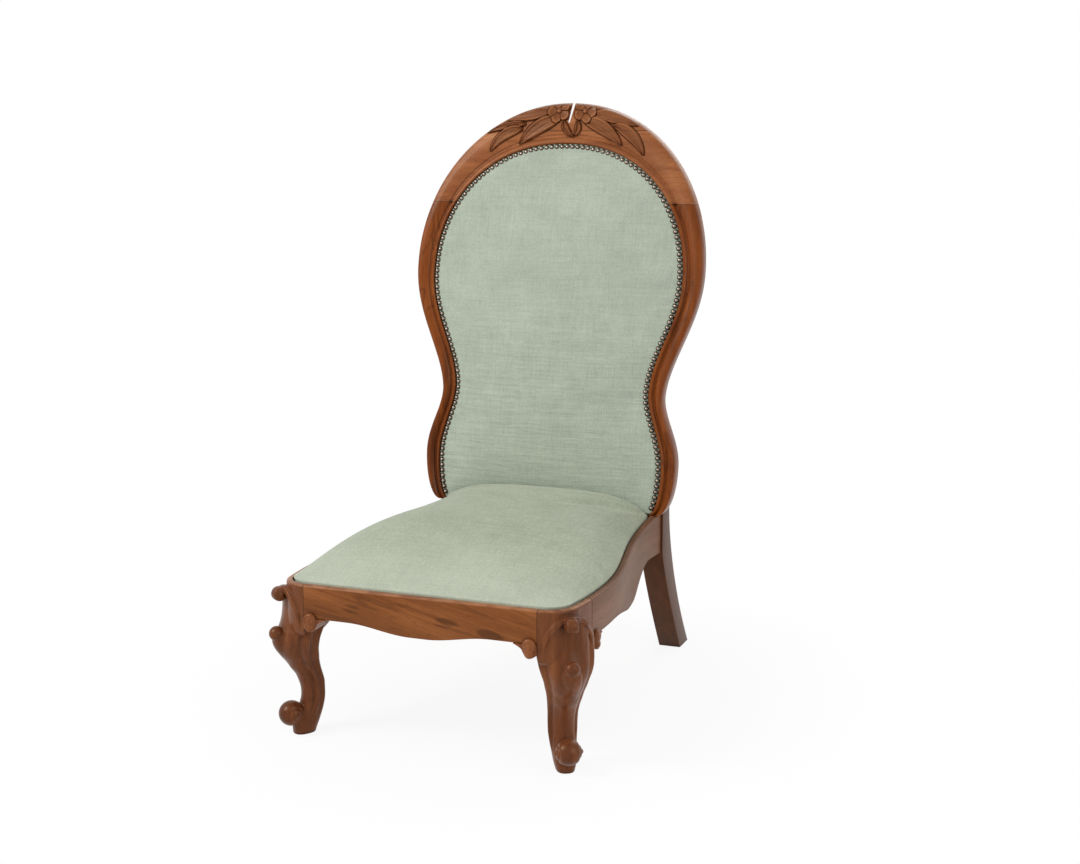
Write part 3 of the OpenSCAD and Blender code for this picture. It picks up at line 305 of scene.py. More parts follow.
class Shapes:
    """Makes meshes from numpy grids and keeps them in the scene."""

    crisp = 40.0

    @staticmethod
    def rings(points: Array, caps: bool = True) -> Shell:
        """Shell over a grid of points in which every row is a closed ring.

        Args:
            points: Array of shape (rows, columns, 3).
            caps: Closes the first and last rings with a fan round their middle.

        Returns:
            Vertices as an array, and faces as lists of indices.
        """
        n, m = points.shape[:2]
        i, j = np.meshgrid(np.arange(n - 1), np.arange(m), indexing="ij")
        i2, j2 = i + 1, (j + 1) % m
        quads = np.stack([i * m + j, i * m + j2, i2 * m + j2, i2 * m + j], -1).reshape(-1, 4)
        verts, faces = points.reshape(-1, 3), quads.tolist()
        if caps:
            ring = np.arange(m)
            hubs = np.stack([points[0].mean(0), points[-1].mean(0)])
            verts = np.vstack([verts, hubs])
            faces += np.stack([np.full(m, n * m), (ring + 1) % m, ring], -1).tolist()
            last = (n - 1) * m + ring
            after = (n - 1) * m + (ring + 1) % m
            faces += np.stack([np.full(m, n * m + 1), last, after], -1).tolist()
        return verts, faces

    @staticmethod
    def wrapped(face: Array, rear: Array) -> Shell:
        """Shell whose rings run along the rows of one grid and back along those of another."""
        return Shapes.rings(np.concatenate([face, rear[:, ::-1]], axis=1))

    @staticmethod
    def mirrored(shell: Shell, side: float) -> Shell:
        """A right-hand shell as it is for side 1, and mirrored to the left for side -1."""
        verts, faces = shell
        return verts * np.array([side, 1.0, 1.0]), faces

    @staticmethod
    def solid(name: str, parts: Sequence[Shell], sharp: float = crisp,
              weld: float = 1e-6) -> bpy.types.Object:
        """Joins closed shells into one object with outward faces and smooth shading.

        Args:
            name: Name of the new object.
            parts: Vertices and faces of each shell.
            sharp: Angle in degrees above which an edge stays crisp.
            weld: Distance under which points become one.

        Returns:
            The new object, linked to the scene.
        """
        verts, faces, start = [], [], 0
        for points, polys in parts:
            verts.append(points)
            faces += [[k + start for k in poly] for poly in polys]
            start += len(points)
        mesh = bpy.data.meshes.new(name)
        mesh.from_pydata(placed(np.vstack(verts)), [], faces)
        build = bmesh.new()
        build.from_mesh(mesh)
        bmesh.ops.remove_doubles(build, verts=build.verts, dist=weld)
        bmesh.ops.dissolve_degenerate(build, edges=build.edges, dist=weld)
        bmesh.ops.recalc_face_normals(build, faces=build.faces)
        build.to_mesh(mesh)
        build.free()
        mesh.shade_smooth()
        mesh.set_sharp_from_angle(angle=math.radians(sharp))
        obj = bpy.data.objects.new(name, mesh)
        bpy.context.scene.collection.objects.link(obj)
        return obj

    @staticmethod
    def prism(outline: Array, low: float, high: float, hub: Sequence[float]) -> Shell:
        """Shell between two levels of a flat outline, closed by fans round a hub.

        The hub has to see every corner.

        Args:
            outline: Corners in turn, shape (n, 2).
            low: First level, along the third axis.
            high: Second level.
            hub: Place of the fans' middle.

        Returns:
            Vertices in (first, second, level) order, and faces.
        """
        n = len(outline)
        levels = [np.column_stack([outline, np.full(n, z)]) for z in (low, high)]
        verts = np.vstack([*levels, [[*hub, low], [*hub, high]]])
        ring, turn = np.arange(n), (np.arange(n) + 1) % n
        faces = np.column_stack([ring, turn, turn + n, ring + n]).tolist()
        faces += np.column_stack([np.full(n, 2 * n), turn, ring]).tolist()
        faces += np.column_stack([np.full(n, 2 * n + 1), ring + n, turn + n]).tolist()
        return verts, faces

    @staticmethod
    def applied(obj: bpy.types.Object) -> bpy.types.Object:
        """Turns the result of an object's modifiers into its own mesh."""
        graph = bpy.context.evaluated_depsgraph_get()
        graph.update()
        mesh = bpy.data.meshes.new_from_object(obj.evaluated_get(graph), depsgraph=graph)
        obj.modifiers.clear()
        old, obj.data = obj.data, mesh
        bpy.data.meshes.remove(old)
        return obj

    @staticmethod
    def fused(name: str, parts: Sequence[Shell], voxel: float) -> bpy.types.Object:
        """Joins overlapping shells into one carved skin, rubbed smooth as by sandpaper.

        Args:
            name: Name of the new object.
            parts: Vertices and faces of each closed shell.
            voxel: Size of the skin's faces.

        Returns:
            The new object.
        """
        obj = Shapes.solid(name, parts, 180.0)
        carve = obj.modifiers.new("carve", "REMESH")
        carve.mode, carve.voxel_size, carve.use_smooth_shade = "VOXEL", voxel, True
        rub = obj.modifiers.new("rub", "SMOOTH")
        rub.factor, rub.iterations = 0.5, 2
        return Shapes.applied(obj)

    @staticmethod
    def marked(obj: bpy.types.Object, name: str, values: Array) -> None:
        """Keeps one number at each of a piece's points, for its material to read."""
        layer = obj.data.attributes.new(name, "FLOAT", "POINT")
        layer.data.foreach_set("value", values.astype(np.float32))

    @staticmethod
    def sawn(obj: bpy.types.Object, tool: Shell) -> None:
        """Takes a closed shell out of a solid."""
        blade = Shapes.solid("blade", [tool], 30.0)
        cut = obj.modifiers.new("cut", "BOOLEAN")
        cut.operation, cut.solver, cut.object = "DIFFERENCE", "EXACT", blade
        Shapes.applied(obj)
        bpy.data.objects.remove(blade)
        obj.data.set_sharp_from_angle(angle=math.radians(Shapes.crisp))

    @staticmethod
    def cut(obj: bpy.types.Object, point: Sequence[float], normal: Sequence[float]) -> None:
        """Keeps the side of a solid that a plane's normal points away from, and closes the cut."""
        build = bmesh.new()
        build.from_mesh(obj.data)
        everything = build.verts[:] + build.edges[:] + build.faces[:]
        cut = bmesh.ops.bisect_plane(build, geom=everything, plane_co=point, plane_no=normal,
                                     clear_outer=True)
        edges = [e for e in cut["geom_cut"] if isinstance(e, bmesh.types.BMEdge)]
        bmesh.ops.holes_fill(build, edges=edges)
        build.to_mesh(obj.data)
        build.free()
        obj.data.set_sharp_from_angle(angle=math.radians(Shapes.crisp))


class Value:
    """A shader socket that can be used in sums: each operator adds its Math node."""

    def __init__(self, graph: Graph, socket: bpy.types.NodeSocket | float) -> None:
        """Wraps a socket, or a plain number."""
        self.graph = graph
        self.socket = socket

    def _math(self, operation: str, *others: Value | float, clamp: bool = False) -> Value:
        """Adds one Math node fed by this value and the others."""
        node = self.graph.add("ShaderNodeMath", {"operation": operation, "use_clamp": clamp},
                              {k: v for k, v in enumerate((self, *others))})
        return Value(self.graph, node.outputs[0])

    def __add__(self, other: Value | float) -> Value:
        """Sum."""
        return self._math("ADD", other)

    def __sub__(self, other: Value | float) -> Value:
        """Difference."""
        return self._math("SUBTRACT", other)

    def __mul__(self, other: Value | float) -> Value:
        """Product."""
        return self._math("MULTIPLY", other)

    def __radd__(self, other: float) -> Value:
        """Sum with a number on the left."""
        return Value(self.graph, other)._math("ADD", self)

    def __rsub__(self, other: float) -> Value:
        """Number minus this value."""
        return Value(self.graph, other)._math("SUBTRACT", self)

    def __rmul__(self, other: float) -> Value:
        """Number times this value."""
        return Value(self.graph, other)._math("MULTIPLY", self)

    def __abs__(self) -> Value:
        """Size without sign."""
        return self._math("ABSOLUTE")

    def sine(self) -> Value:
        """Sine, in radians."""
        return self._math("SINE")

    def clamped(self) -> Value:
        """Held between 0 and 1."""
        return self._math("ADD", 0.0, clamp=True)

    def above(self, low: float, high: float) -> Value:
        """Smooth step from 0 at low to 1 at high."""
        node = self.graph.add("ShaderNodeMapRange", {"interpolation_type": "SMOOTHSTEP"},
                              {0: self, 1: low, 2: high, 3: 0.0, 4: 1.0})
        return Value(self.graph, node.outputs[0])

    def below(self, low: float, high: float) -> Value:
        """Smooth step from 1 at low to 0 at high."""
        return 1 - self.above(low, high)


class Graph:
    """Node tree of one material or of the world."""

    def __init__(self, owner: bpy.types.Material | bpy.types.World) -> None:
        """Empties the owner's tree and gives it its output node."""
        self.owner = owner
        owner.use_nodes = True
        self.tree = owner.node_tree
        self.tree.nodes.clear()
        kind = "World" if isinstance(owner, bpy.types.World) else "Material"
        self.output = self.tree.nodes.new(f"ShaderNodeOutput{kind}")
        self.coordinates = self.add("ShaderNodeTexCoord", {}, {})

    def add(self, kind: str, settings: dict, sockets: dict) -> bpy.types.Node:
        """Adds any node.

        Args:
            kind: Blender's name of the node type.
            settings: Properties that are set first; "stops" sets a colour ramp.
            sockets: Input name or index to a number, colour, Value or output socket.

        Returns:
            The new node.
        """
        node = self.tree.nodes.new(kind)
        for key, value in settings.items():
            if key == "stops":
                ramp = node.color_ramp.elements
                while len(ramp) < len(value):
                    ramp.new(0.5)
                for element, (place, colour) in zip(ramp, value):
                    element.position, element.color = place, (*colour, 1.0)
            else:
                setattr(node, key, value)
        for key, value in sockets.items():
            plain = value.socket if isinstance(value, Value) else value
            if isinstance(plain, bpy.types.NodeSocket):
                self.tree.links.new(plain, node.inputs[key])
            elif node.inputs[key].type == "RGBA" and len(plain) == 3:
                node.inputs[key].default_value = (*plain, 1.0)
            else:
                node.inputs[key].default_value = plain
        return node

    def place(self, scale: Sequence[float] = (1, 1, 1), turn: Sequence[float] = (0, 0, 0)
              ) -> bpy.types.NodeSocket:
        """Object coordinates, turned first and then stretched."""
        node = self.add("ShaderNodeMapping", {"vector_type": "TEXTURE"},
                        {"Vector": self.coordinates.outputs["Object"], "Rotation": tuple(turn),
                         "Scale": tuple(1 / share for share in scale)})
        return node.outputs[0]

    def axis(self, index: int) -> Value:
        """One object coordinate as a value, 0 for x to 2 for z."""
        node = self.add("ShaderNodeSeparateXYZ", {}, {0: self.coordinates.outputs["Object"]})
        return Value(self, node.outputs[index])

    def noise(self, vector: bpy.types.NodeSocket, scale: float, detail: float = 3.0,
              rough: float = 0.5, warp: float = 0.0) -> Value:
        """Soft noise between 0 and 1."""
        node = self.add("ShaderNodeTexNoise", {},
                        {"Vector": vector, "Scale": scale, "Detail": detail, "Roughness": rough,
                         "Distortion": warp})
        return Value(self, node.outputs[0])

    def attribute(self, name: str) -> Value:
        """The number that a piece keeps at its points."""
        node = self.add("ShaderNodeAttribute", {"attribute_name": name}, {})
        return Value(self, node.outputs["Fac"])

    def openness(self, distance: float) -> Value:
        """1 on open surfaces, falling to 0 in hollows about a distance wide."""
        node = self.add("ShaderNodeAmbientOcclusion", {"samples": 6}, {"Distance": distance})
        return Value(self, node.outputs["AO"])

    def ramp(self, value: Value, stops: Sequence[tuple[float, Colour]]) -> bpy.types.NodeSocket:
        """Colour ramp over a value."""
        return self.add("ShaderNodeValToRGB", {"stops": stops}, {0: value}).outputs[0]

    def blend(self, factor: Value, a: bpy.types.NodeSocket, b: Colour) -> bpy.types.NodeSocket:
        """Mixes a colour into another, by a factor from 0 to 1."""
        node = self.add("ShaderNodeMix", {"data_type": "RGBA"}, {"Factor": factor, 6: a, 7: b})
        return node.outputs[2]

    def bump(self, height: Value, depth: float, strength: float) -> bpy.types.NodeSocket:
        """Normal from a height whose full range stands for depth in metres."""
        node = self.add("ShaderNodeBump", {},
                        {"Strength": strength, "Distance": depth, "Height": height})
        return node.outputs[0]

    def surface(self, **inputs: object) -> bpy.types.Material:
        """Ends the tree in one Principled shader.

        Args:
            inputs: Socket names, with underscores for spaces, to values.

        Returns:
            The finished material.
        """
        named = {key.replace("_", " "): value for key, value in inputs.items()}
        shader = self.add("ShaderNodeBsdfPrincipled", {}, named)
        self.tree.links.new(shader.outputs[0], self.output.inputs["Surface"])
        return self.owner


@dataclass(frozen=True)
class Walnut:
    """Polished walnut: dark figure in reddish brown, fine pores, wax and painted shade in the
    hollows.
    """

    name: str
    grain: Grain
    dark: Colour
    middle: Colour
    light: Colour
    roughness: float = 0.32
    veins: float = 0.45
    figure: float = 16.0
    turn: tuple[float, float, float] = (0.0, 0.0, 0.0)
    knots: tuple[tuple[float, float], ...] = ()
    hollow: float = 0.008
    carved: bool = False
    seam_z: tuple[float, ...] = ()
    lip_z: float = 9.0
    end_x: float = 9.0

    # Shadow in a glue line, wear along a lip under a painted highlight, and the polish's warm gloss
    glue_line = (0.012, 0.006, 0.004)
    lip_wear_and_highlight = (0.52, 0.25, 0.13)
    gloss = (1.0, 0.74, 0.52)

    def make(self) -> bpy.types.Material:
        """Builds the material.

        The figure is noise drawn out along the grain, in three sizes, over broad clouds. Veins
        lie where a noise crosses its middle, and pores where the finest one is high. Knots and glue
        lines are darker; the carving gets painted shade, with painted highlights on its rims;
        hollows get painted shade that also stands for wax; edges are rubbed, and a lip gets wear
        under a painted highlight.
        """
        g = Graph(bpy.data.materials.new(self.name))
        along = g.place(self.grain.value, self.turn)
        warp = g.noise(g.place(), 5.0, 2.0)
        figure = g.noise(along, self.figure, 4.0, 0.55, 1.6)
        streak = g.noise(along, self.figure * 7, 3.0, 0.6, 0.4)
        fibre = g.noise(along, self.figure * 70, 2.0, 0.5)
        mass = g.noise(g.place(), 3.2, 2.0)
        tone = (figure * 0.55 + streak * 0.35 + (warp - 0.5) * 0.25 + (mass - 0.5) * 0.35).clamped()
        colour = g.ramp(tone, [(0.22, self.dark), (0.46, self.middle), (0.72, self.light)])
        vein = g.noise(along, self.figure * 0.8, 3.0, 0.5, 2.6)
        vein_line = abs(vein - 0.5).below(0.004, 0.030)
        colour = g.blend(vein_line * self.veins, colour, shaded(self.dark, 0.55))
        colour = g.blend(fibre.above(0.60, 0.72) * 0.55, colour, shaded(self.dark, 0.45))
        for x, z in self.knots:
            off_x, off_z = g.axis(0) - x, g.axis(2) - z
            ragged = (vein - 0.5) * 5e-4 + (streak - 0.5) * 3e-4
            spread = off_x * off_x * 0.16 + off_z * off_z + ragged
            colour = g.blend(spread.below(1e-5, 9e-5) * 0.6, colour, shaded(self.dark, 0.4))
        for z in self.seam_z:
            seam = abs(g.axis(2) - z).below(0.0003, 0.0009)
            colour = g.blend(seam * 0.85, colour, self.glue_line)
        if self.carved:
            # Painted shade over the carving's relief, and painted highlights on its highest rims
            relief = g.attribute("carved")
            colour = g.blend(relief.above(0.05, 0.35) * 0.60, colour, shaded(self.middle, 0.55))
            colour = g.blend(relief.above(0.92, 1.12) * 0.40, colour, self.light)
        # Painted shade in the hollows, which also stands for wax built up there
        openness = g.openness(self.hollow)
        colour = g.blend(openness.below(0.35, 0.85) * 0.65, colour, shaded(self.dark, 0.28))
        edge = Value(g, g.add("ShaderNodeNewGeometry", {}, {}).outputs["Pointiness"])
        worn = edge.above(0.53, 0.62) * g.noise(g.place(), 60.0, 3.0).above(0.35, 0.65)
        colour = g.blend(worn * 0.45, colour, shaded(self.light, 1.9))
        # Along the top of a lip: wood rubbed bare, with a painted highlight over it
        rubbed = g.axis(2).above(self.lip_z - 0.0035, self.lip_z - 0.0005)
        rubbed = rubbed * (0.25 + 0.75 * g.noise(g.place(), 35.0, 3.0).above(0.35, 0.60))
        colour = g.blend(rubbed * 0.50, colour, self.lip_wear_and_highlight)
        joint = abs(g.axis(0)).above(self.end_x - 0.0016, self.end_x - 0.0004)
        colour = g.blend(joint * 0.8, colour, self.glue_line)
        rough = (self.roughness + (mass - 0.5) * 0.16 + (fibre - 0.5) * 0.12
                 + openness.below(0.4, 0.9) * 0.2)
        height = fibre * 0.5 + streak * 0.5
        return g.surface(Base_Color=colour, Roughness=rough, Coat_Weight=0.04, Coat_Roughness=0.15,
                         Specular_IOR_Level=0.24, Specular_Tint=self.gloss,
                         Normal=g.bump(height, 0.00012, 0.5))


@dataclass(frozen=True)
class SawnWood:
    """Bare sawn secondary wood, with saw marks."""

    name: str
    light: Colour = (0.56, 0.38, 0.22)
    dark: Colour = (0.40, 0.25, 0.13)

    def make(self) -> bpy.types.Material:
        """Builds the material."""
        g = Graph(bpy.data.materials.new(self.name))
        fibre = g.noise(g.place((0.08, 1, 1)), 220.0, 3.0)
        flecks = g.noise(g.place((0.3, 1, 1)), 700.0, 1.0).above(0.62, 0.7)
        tone = fibre * 0.7 + g.noise(g.place(), 9.0) * 0.4
        colour = g.ramp(tone, [(0.35, self.dark), (0.70, self.light)])
        colour = g.blend(flecks * 0.4, colour, shaded(self.dark, 0.6))
        return g.surface(Base_Color=colour, Roughness=0.78 + (fibre - 0.5) * 0.2,
                         Normal=g.bump(fibre, 0.0004, 0.6))


@dataclass(frozen=True)
class Velvet:
    """Cut velvet: short pile with drawn lines across, faint lines down, and lint."""

    name: str
    colour: Colour
    shade: Colour
    drawn: float = 1.0
    mottle: float = 0.3
    flecks: float = 0.5
    plain_above: float = 9.0
    pale_front_until: float = -9.0
    across: tuple[float, float, float] = (0.03, 0.03, 1.0)
    down: tuple[float, float, float] = (1.0, 0.03, 0.03)

    # Colours of the velvet's paler front, and of a speck of lint
    pale_front = (0.56, 0.60, 0.50)
    lint = (0.86, 0.87, 0.82)

    def make(self) -> bpy.types.Material:
        """Builds the material.

        The pile is fine noise. Its drawn lines are noise stretched along the weave, in two sizes,
        weaker above a height; broad clouds mottle it, it is paler towards the front, and lint
        sits in a few cells of a Voronoi pattern.
        """
        g = Graph(bpy.data.materials.new(self.name))
        pile = g.noise(g.place(), 1400.0, 2.0, 0.7)
        fleck = g.noise(g.place(), 300.0, 3.0, 0.7)
        rows = g.noise(g.place(self.across), 900.0, 3.0, 0.7)
        slubs = g.noise(g.place(self.across), 260.0, 4.0, 0.75)
        threads = g.noise(g.place(self.down), 800.0, 2.0, 0.6)
        clouds = g.noise(g.place(), 11.0, 4.0, 0.6)
        patches = g.noise(g.place(), 38.0, 3.0, 0.6)
        drawn = self.drawn * (1 - 0.6 * g.axis(2).above(self.plain_above, self.plain_above + 0.3))
        tone = ((rows - 0.5) * (0.7 * drawn) + (slubs - 0.5) * (0.6 * drawn)
                + (threads - 0.5) * 0.35 + (pile - 0.5) * 0.5 + (fleck - 0.5) * self.flecks
                + (clouds - 0.5) * (2.2 * self.mottle) + (patches - 0.5) * (1.2 * self.mottle)
                + 0.5).clamped()
        colour = g.ramp(tone, [(0.0, shaded(self.shade, 0.72)), (0.38, self.shade),
                               (0.62, self.colour), (1.0, shaded(self.colour, 1.22))])
        # Paler towards the front, in broad clouds
        pale_front = g.axis(1).below(self.pale_front_until - 0.26, self.pale_front_until) * (0.55 + 0.45 * clouds)
        colour = g.blend(pale_front * 0.55, colour, self.pale_front)
        deep = slubs.above(0.62, 0.72) * g.noise(g.place(), 6.0).above(0.5, 0.66)
        colour = g.blend(deep * (0.5 * drawn), colour, shaded(self.shade, 0.62))
        cells = g.add("ShaderNodeTexVoronoi", {"feature": "F1"},
                      {"Vector": g.place(), "Scale": 95.0, "Randomness": 1.0})
        draw = g.add("ShaderNodeSeparateColor", {}, {0: cells.outputs["Color"]}).outputs[0]
        chosen = Value(g, draw).above(0.972, 0.978)
        specks = Value(g, cells.outputs["Distance"]).below(0.03, 0.09) * chosen
        colour = g.blend(specks * 0.8, colour, self.lint)
        height = pile * 0.35 + rows * (0.4 * drawn) + slubs * (0.5 * drawn) + threads * 0.2
        return g.surface(Base_Color=colour, Roughness=0.86 + (pile - 0.5) * 0.15, Sheen_Weight=0.35,
                         Sheen_Roughness=0.4, Sheen_Tint=(0.92, 0.96, 0.88, 1.0),
                         Specular_IOR_Level=0.2, Normal=g.bump(height, 0.0007, 0.55))


@dataclass(frozen=True)
class Jute:
    """Plain-woven jute, in webbing and hessian."""

    name: str
    colour: Colour = (0.46, 0.35, 0.21)
    threads: float = 900.0

    def make(self) -> bpy.types.Material:
        """Builds the material: the weave is a product of two sines."""
        g = Graph(bpy.data.materials.new(self.name))
        across, along = g.axis(0) * self.threads, (g.axis(1) + g.axis(2)) * self.threads
        weave = across.sine() * along.sine() * 0.5 + 0.5
        fuzz = g.noise(g.place(), 500.0, 3.0)
        colour = g.ramp(weave * 0.6 + fuzz * 0.4, [(0.25, shaded(self.colour, 0.45)),
                                                   (0.7, self.colour)])
        return g.surface(Base_Color=colour, Roughness=0.9 + (fuzz - 0.5) * 0.1,
                         Normal=g.bump(weave + fuzz * 0.5, 0.0006, 0.7))


@dataclass(frozen=True)
class AgedMetal:
    """Metal with a dull skin in hollows, rubbed high places, and on domes a painted highlight and
    rim shade.
    """

    name: str
    bright: Colour
    dull: Colour
    roughness: float = 0.34
    domed: bool = False

    def make(self) -> bpy.types.Material:
        """Builds the material."""
        g = Graph(bpy.data.materials.new(self.name))
        spots = g.noise(g.place(), 420.0, 3.0, 0.6)
        broad = g.noise(g.place(), 60.0, 2.0)
        hollow = g.openness(0.003).below(0.3, 0.95)
        tone = (spots * 0.5 + broad * 0.4 + hollow * -0.7 + 0.1).clamped()
        # A domed head gets a painted highlight at its apex and painted shade towards its rim
        if self.domed:
            tone = (tone * 0.4 + g.attribute("dome").above(0.72, 1.1) * 0.45).clamped()
        colour = g.ramp(tone, [(0.15, self.dull), (0.55, self.bright)])
        return g.surface(Base_Color=colour, Metallic=1.0,
                         Roughness=self.roughness + (spots - 0.5) * 0.25,
                         Normal=g.bump(spots, 0.0001, 0.4))


@dataclass(frozen=True)
class Lining:
    """Black glazed cotton under the seat."""

    name: str
    black: Colour = (0.012, 0.012, 0.013)
    dusty: Colour = (0.05, 0.05, 0.048)

    def make(self) -> bpy.types.Material:
        """Builds the material."""
        g = Graph(bpy.data.materials.new(self.name))
        weave = g.noise(g.place(), 1500.0, 2.0)
        dust = g.noise(g.place(), 14.0, 4.0)
        colour = g.ramp(weave * 0.4 + dust * 0.6, [(0.35, self.black), (0.8, self.dusty)])
        return g.surface(Base_Color=colour, Roughness=0.7 + (dust - 0.5) * 0.2,
                         Normal=g.bump(weave, 0.0003, 0.5))


class Finishes:
    """All finishes of the chair, made once and shared by their pieces."""

    def __init__(self) -> None:
        """Builds each material."""
        self.stile = Walnut(
            "walnut_stile", Grain.UPRIGHT, (0.095, 0.019, 0.003), (0.200, 0.046, 0.006),
            (0.300, 0.088, 0.018), seam_z=(S.joint_z,)).make()
        self.crest = Walnut(
            "walnut_crest", Grain.ACROSS, (0.145, 0.040, 0.013), (0.262, 0.084, 0.028),
            (0.420, 0.158, 0.058), roughness=0.34, carved=True, veins=0.25,
            seam_z=(S.joint_z, S.cap_z)).make()
        self.leg = Walnut(
            "walnut_leg", Grain.UPRIGHT, (0.060, 0.015, 0.005), (0.138, 0.040, 0.013),
            (0.235, 0.080, 0.028), veins=0.15, hollow=0.010, lip_z=S.seat_top).make()
        # The rear legs' walnut is much darker than the rest: painted shade, as they stand in shadow
        self.rear_leg = Walnut(
            "walnut_rear_leg_painted_shade", Grain.UPRIGHT, (0.030, 0.007, 0.002), (0.070, 0.017, 0.003),
            (0.125, 0.037, 0.010), roughness=0.42, veins=0.2).make()
        self.front_rail = Walnut(
            "walnut_front_rail", Grain.ACROSS, (0.115, 0.032, 0.008), (0.215, 0.066, 0.016),
            (0.350, 0.125, 0.038), roughness=0.36, veins=0.35, figure=15.0, turn=(0.0, 0.22, 0.0),
            lip_z=S.seat_top, end_x=S.corner_x,
            knots=((-0.112, 0.228), (0.045, 0.222), (0.120, 0.212))).make()
        self.ear = Walnut(
            "walnut_ear", Grain.UPRIGHT, (0.075, 0.020, 0.006), (0.185, 0.056, 0.018),
            (0.330, 0.120, 0.044), veins=0.15).make()
        # The side rails' walnut is paler and pinker than the rest: a painted sheen from light
        # falling on their sides
        self.side_rail = Walnut(
            "walnut_side_rail_painted_sheen", Grain.DEEP, (0.100, 0.042, 0.022), (0.172, 0.080, 0.044),
            (0.250, 0.130, 0.080), roughness=0.50, veins=0.15).make()
        self.beech = SawnWood("sawn_beech").make()
        self.jute = Jute("jute").make()
        self.back_velvet = Velvet(
            "velvet_back", (0.430, 0.478, 0.385), (0.335, 0.378, 0.305), mottle=0.16,
            plain_above=0.45).make()
        self.seat_velvet = Velvet(
            "velvet_seat", (0.430, 0.468, 0.350), (0.310, 0.346, 0.252), drawn=0.5, mottle=0.16,
            flecks=0.9, pale_front_until=-0.11, across=(0.03, 1.0, 0.5)).make()
        # Brass whose nail heads get a painted highlight at the apex and painted shade at the rim
        self.brass = AgedMetal(
            "antique_brass", (0.36, 0.30, 0.24), (0.036, 0.024, 0.017), domed=True).make()
        self.steel = AgedMetal("plain_steel", (0.50, 0.50, 0.50), (0.22, 0.20, 0.19), 0.42).make()
        self.lining = Lining("black_lining").make()


def dress(obj: bpy.types.Object, material: bpy.types.Material) -> None:
    """Gives a piece one material."""
    obj.data.materials.clear()
    obj.data.materials.append(material)


class Body(Enum):
    """Bodies that pieces ride on."""

    CHAIR = "chair"
    DROP_IN_SEAT = "drop_in_seat"


def mount(obj: bpy.types.Object, body: Body, slot: str, material: bpy.types.Material,
          *nodes: str) -> bpy.types.Object:
    """Dresses a new piece and ties it to the frame.

    Args:
        obj: The new piece.
        body: Body that it moves with.
        slot: The record's material slot; not used.
        material: Its finish.
        nodes: CAD nodes that it stands for.

    Returns:
        The piece.
    """
    dress(obj, material)
    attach(obj, body.value)
    if nodes:
        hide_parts(*nodes)
    LOG.info("%s: %d faces on %s", obj.name, len(obj.data.polygons), body.value)
    return obj


@dataclass(frozen=True)
class Edge:
    """One outline of the balloon, seen from the front.

    The top is a superellipse over the widest place, the flanks are cosines through the waist to
    the lower bulge, and the foot is a quarter ellipse.
    """

    balloon: float
    waist: float
    bulge: float
    foot: float
    top: float
    power: float
    balloon_z: float
    waist_z: float
    bulge_z: float
    flank: float

    def shrunk(self, d: float) -> Edge:
        """The outline drawn in by d."""
        return Edge(self.balloon - d, self.waist - d, self.bulge - d, self.foot - d, self.top - d,
                    self.power, self.balloon_z, self.waist_z, self.bulge_z, self.flank)

    def half_width(self, z: Array) -> Array:
        """Half width at a height."""
        up = unit((z - self.balloon_z) / (self.top - self.balloon_z))
        arch = self.balloon * (1 - up ** self.power) ** (1 / self.power)
        flank = mix(self.waist, self.balloon,
                    ease(unit((z - self.waist_z) / (self.balloon_z - self.waist_z)) ** self.flank))
        belly = mix(self.waist, self.bulge,
                    ease(unit((self.waist_z - z) / (self.waist_z - self.bulge_z)) ** 0.9))
        down = unit((self.bulge_z - z) / (self.bulge_z - S.foot_z))
        foot = mix(self.foot, self.bulge, np.sqrt(1 - down ** 2))
        return np.where(z > self.balloon_z, arch, np.where(z > self.waist_z, flank,
                        np.where(z > self.bulge_z, belly, foot)))

    @property
    def joint_angle(self) -> float:
        """Angle of the superellipse at the crest joint."""
        rise = (S.joint_z - self.balloon_z) / (self.top - self.balloon_z)
        return math.asin(rise ** (self.power / 2))

    def at_angle(self, a: Array) -> Array:
        """Points of the top's superellipse at angles up to a right angle."""
        x = self.balloon * np.maximum(np.cos(a), 0.0) ** (2 / self.power)
        z = self.balloon_z + (self.top - self.balloon_z) * np.sin(a) ** (2 / self.power)
        return np.stack([x, z], -1)


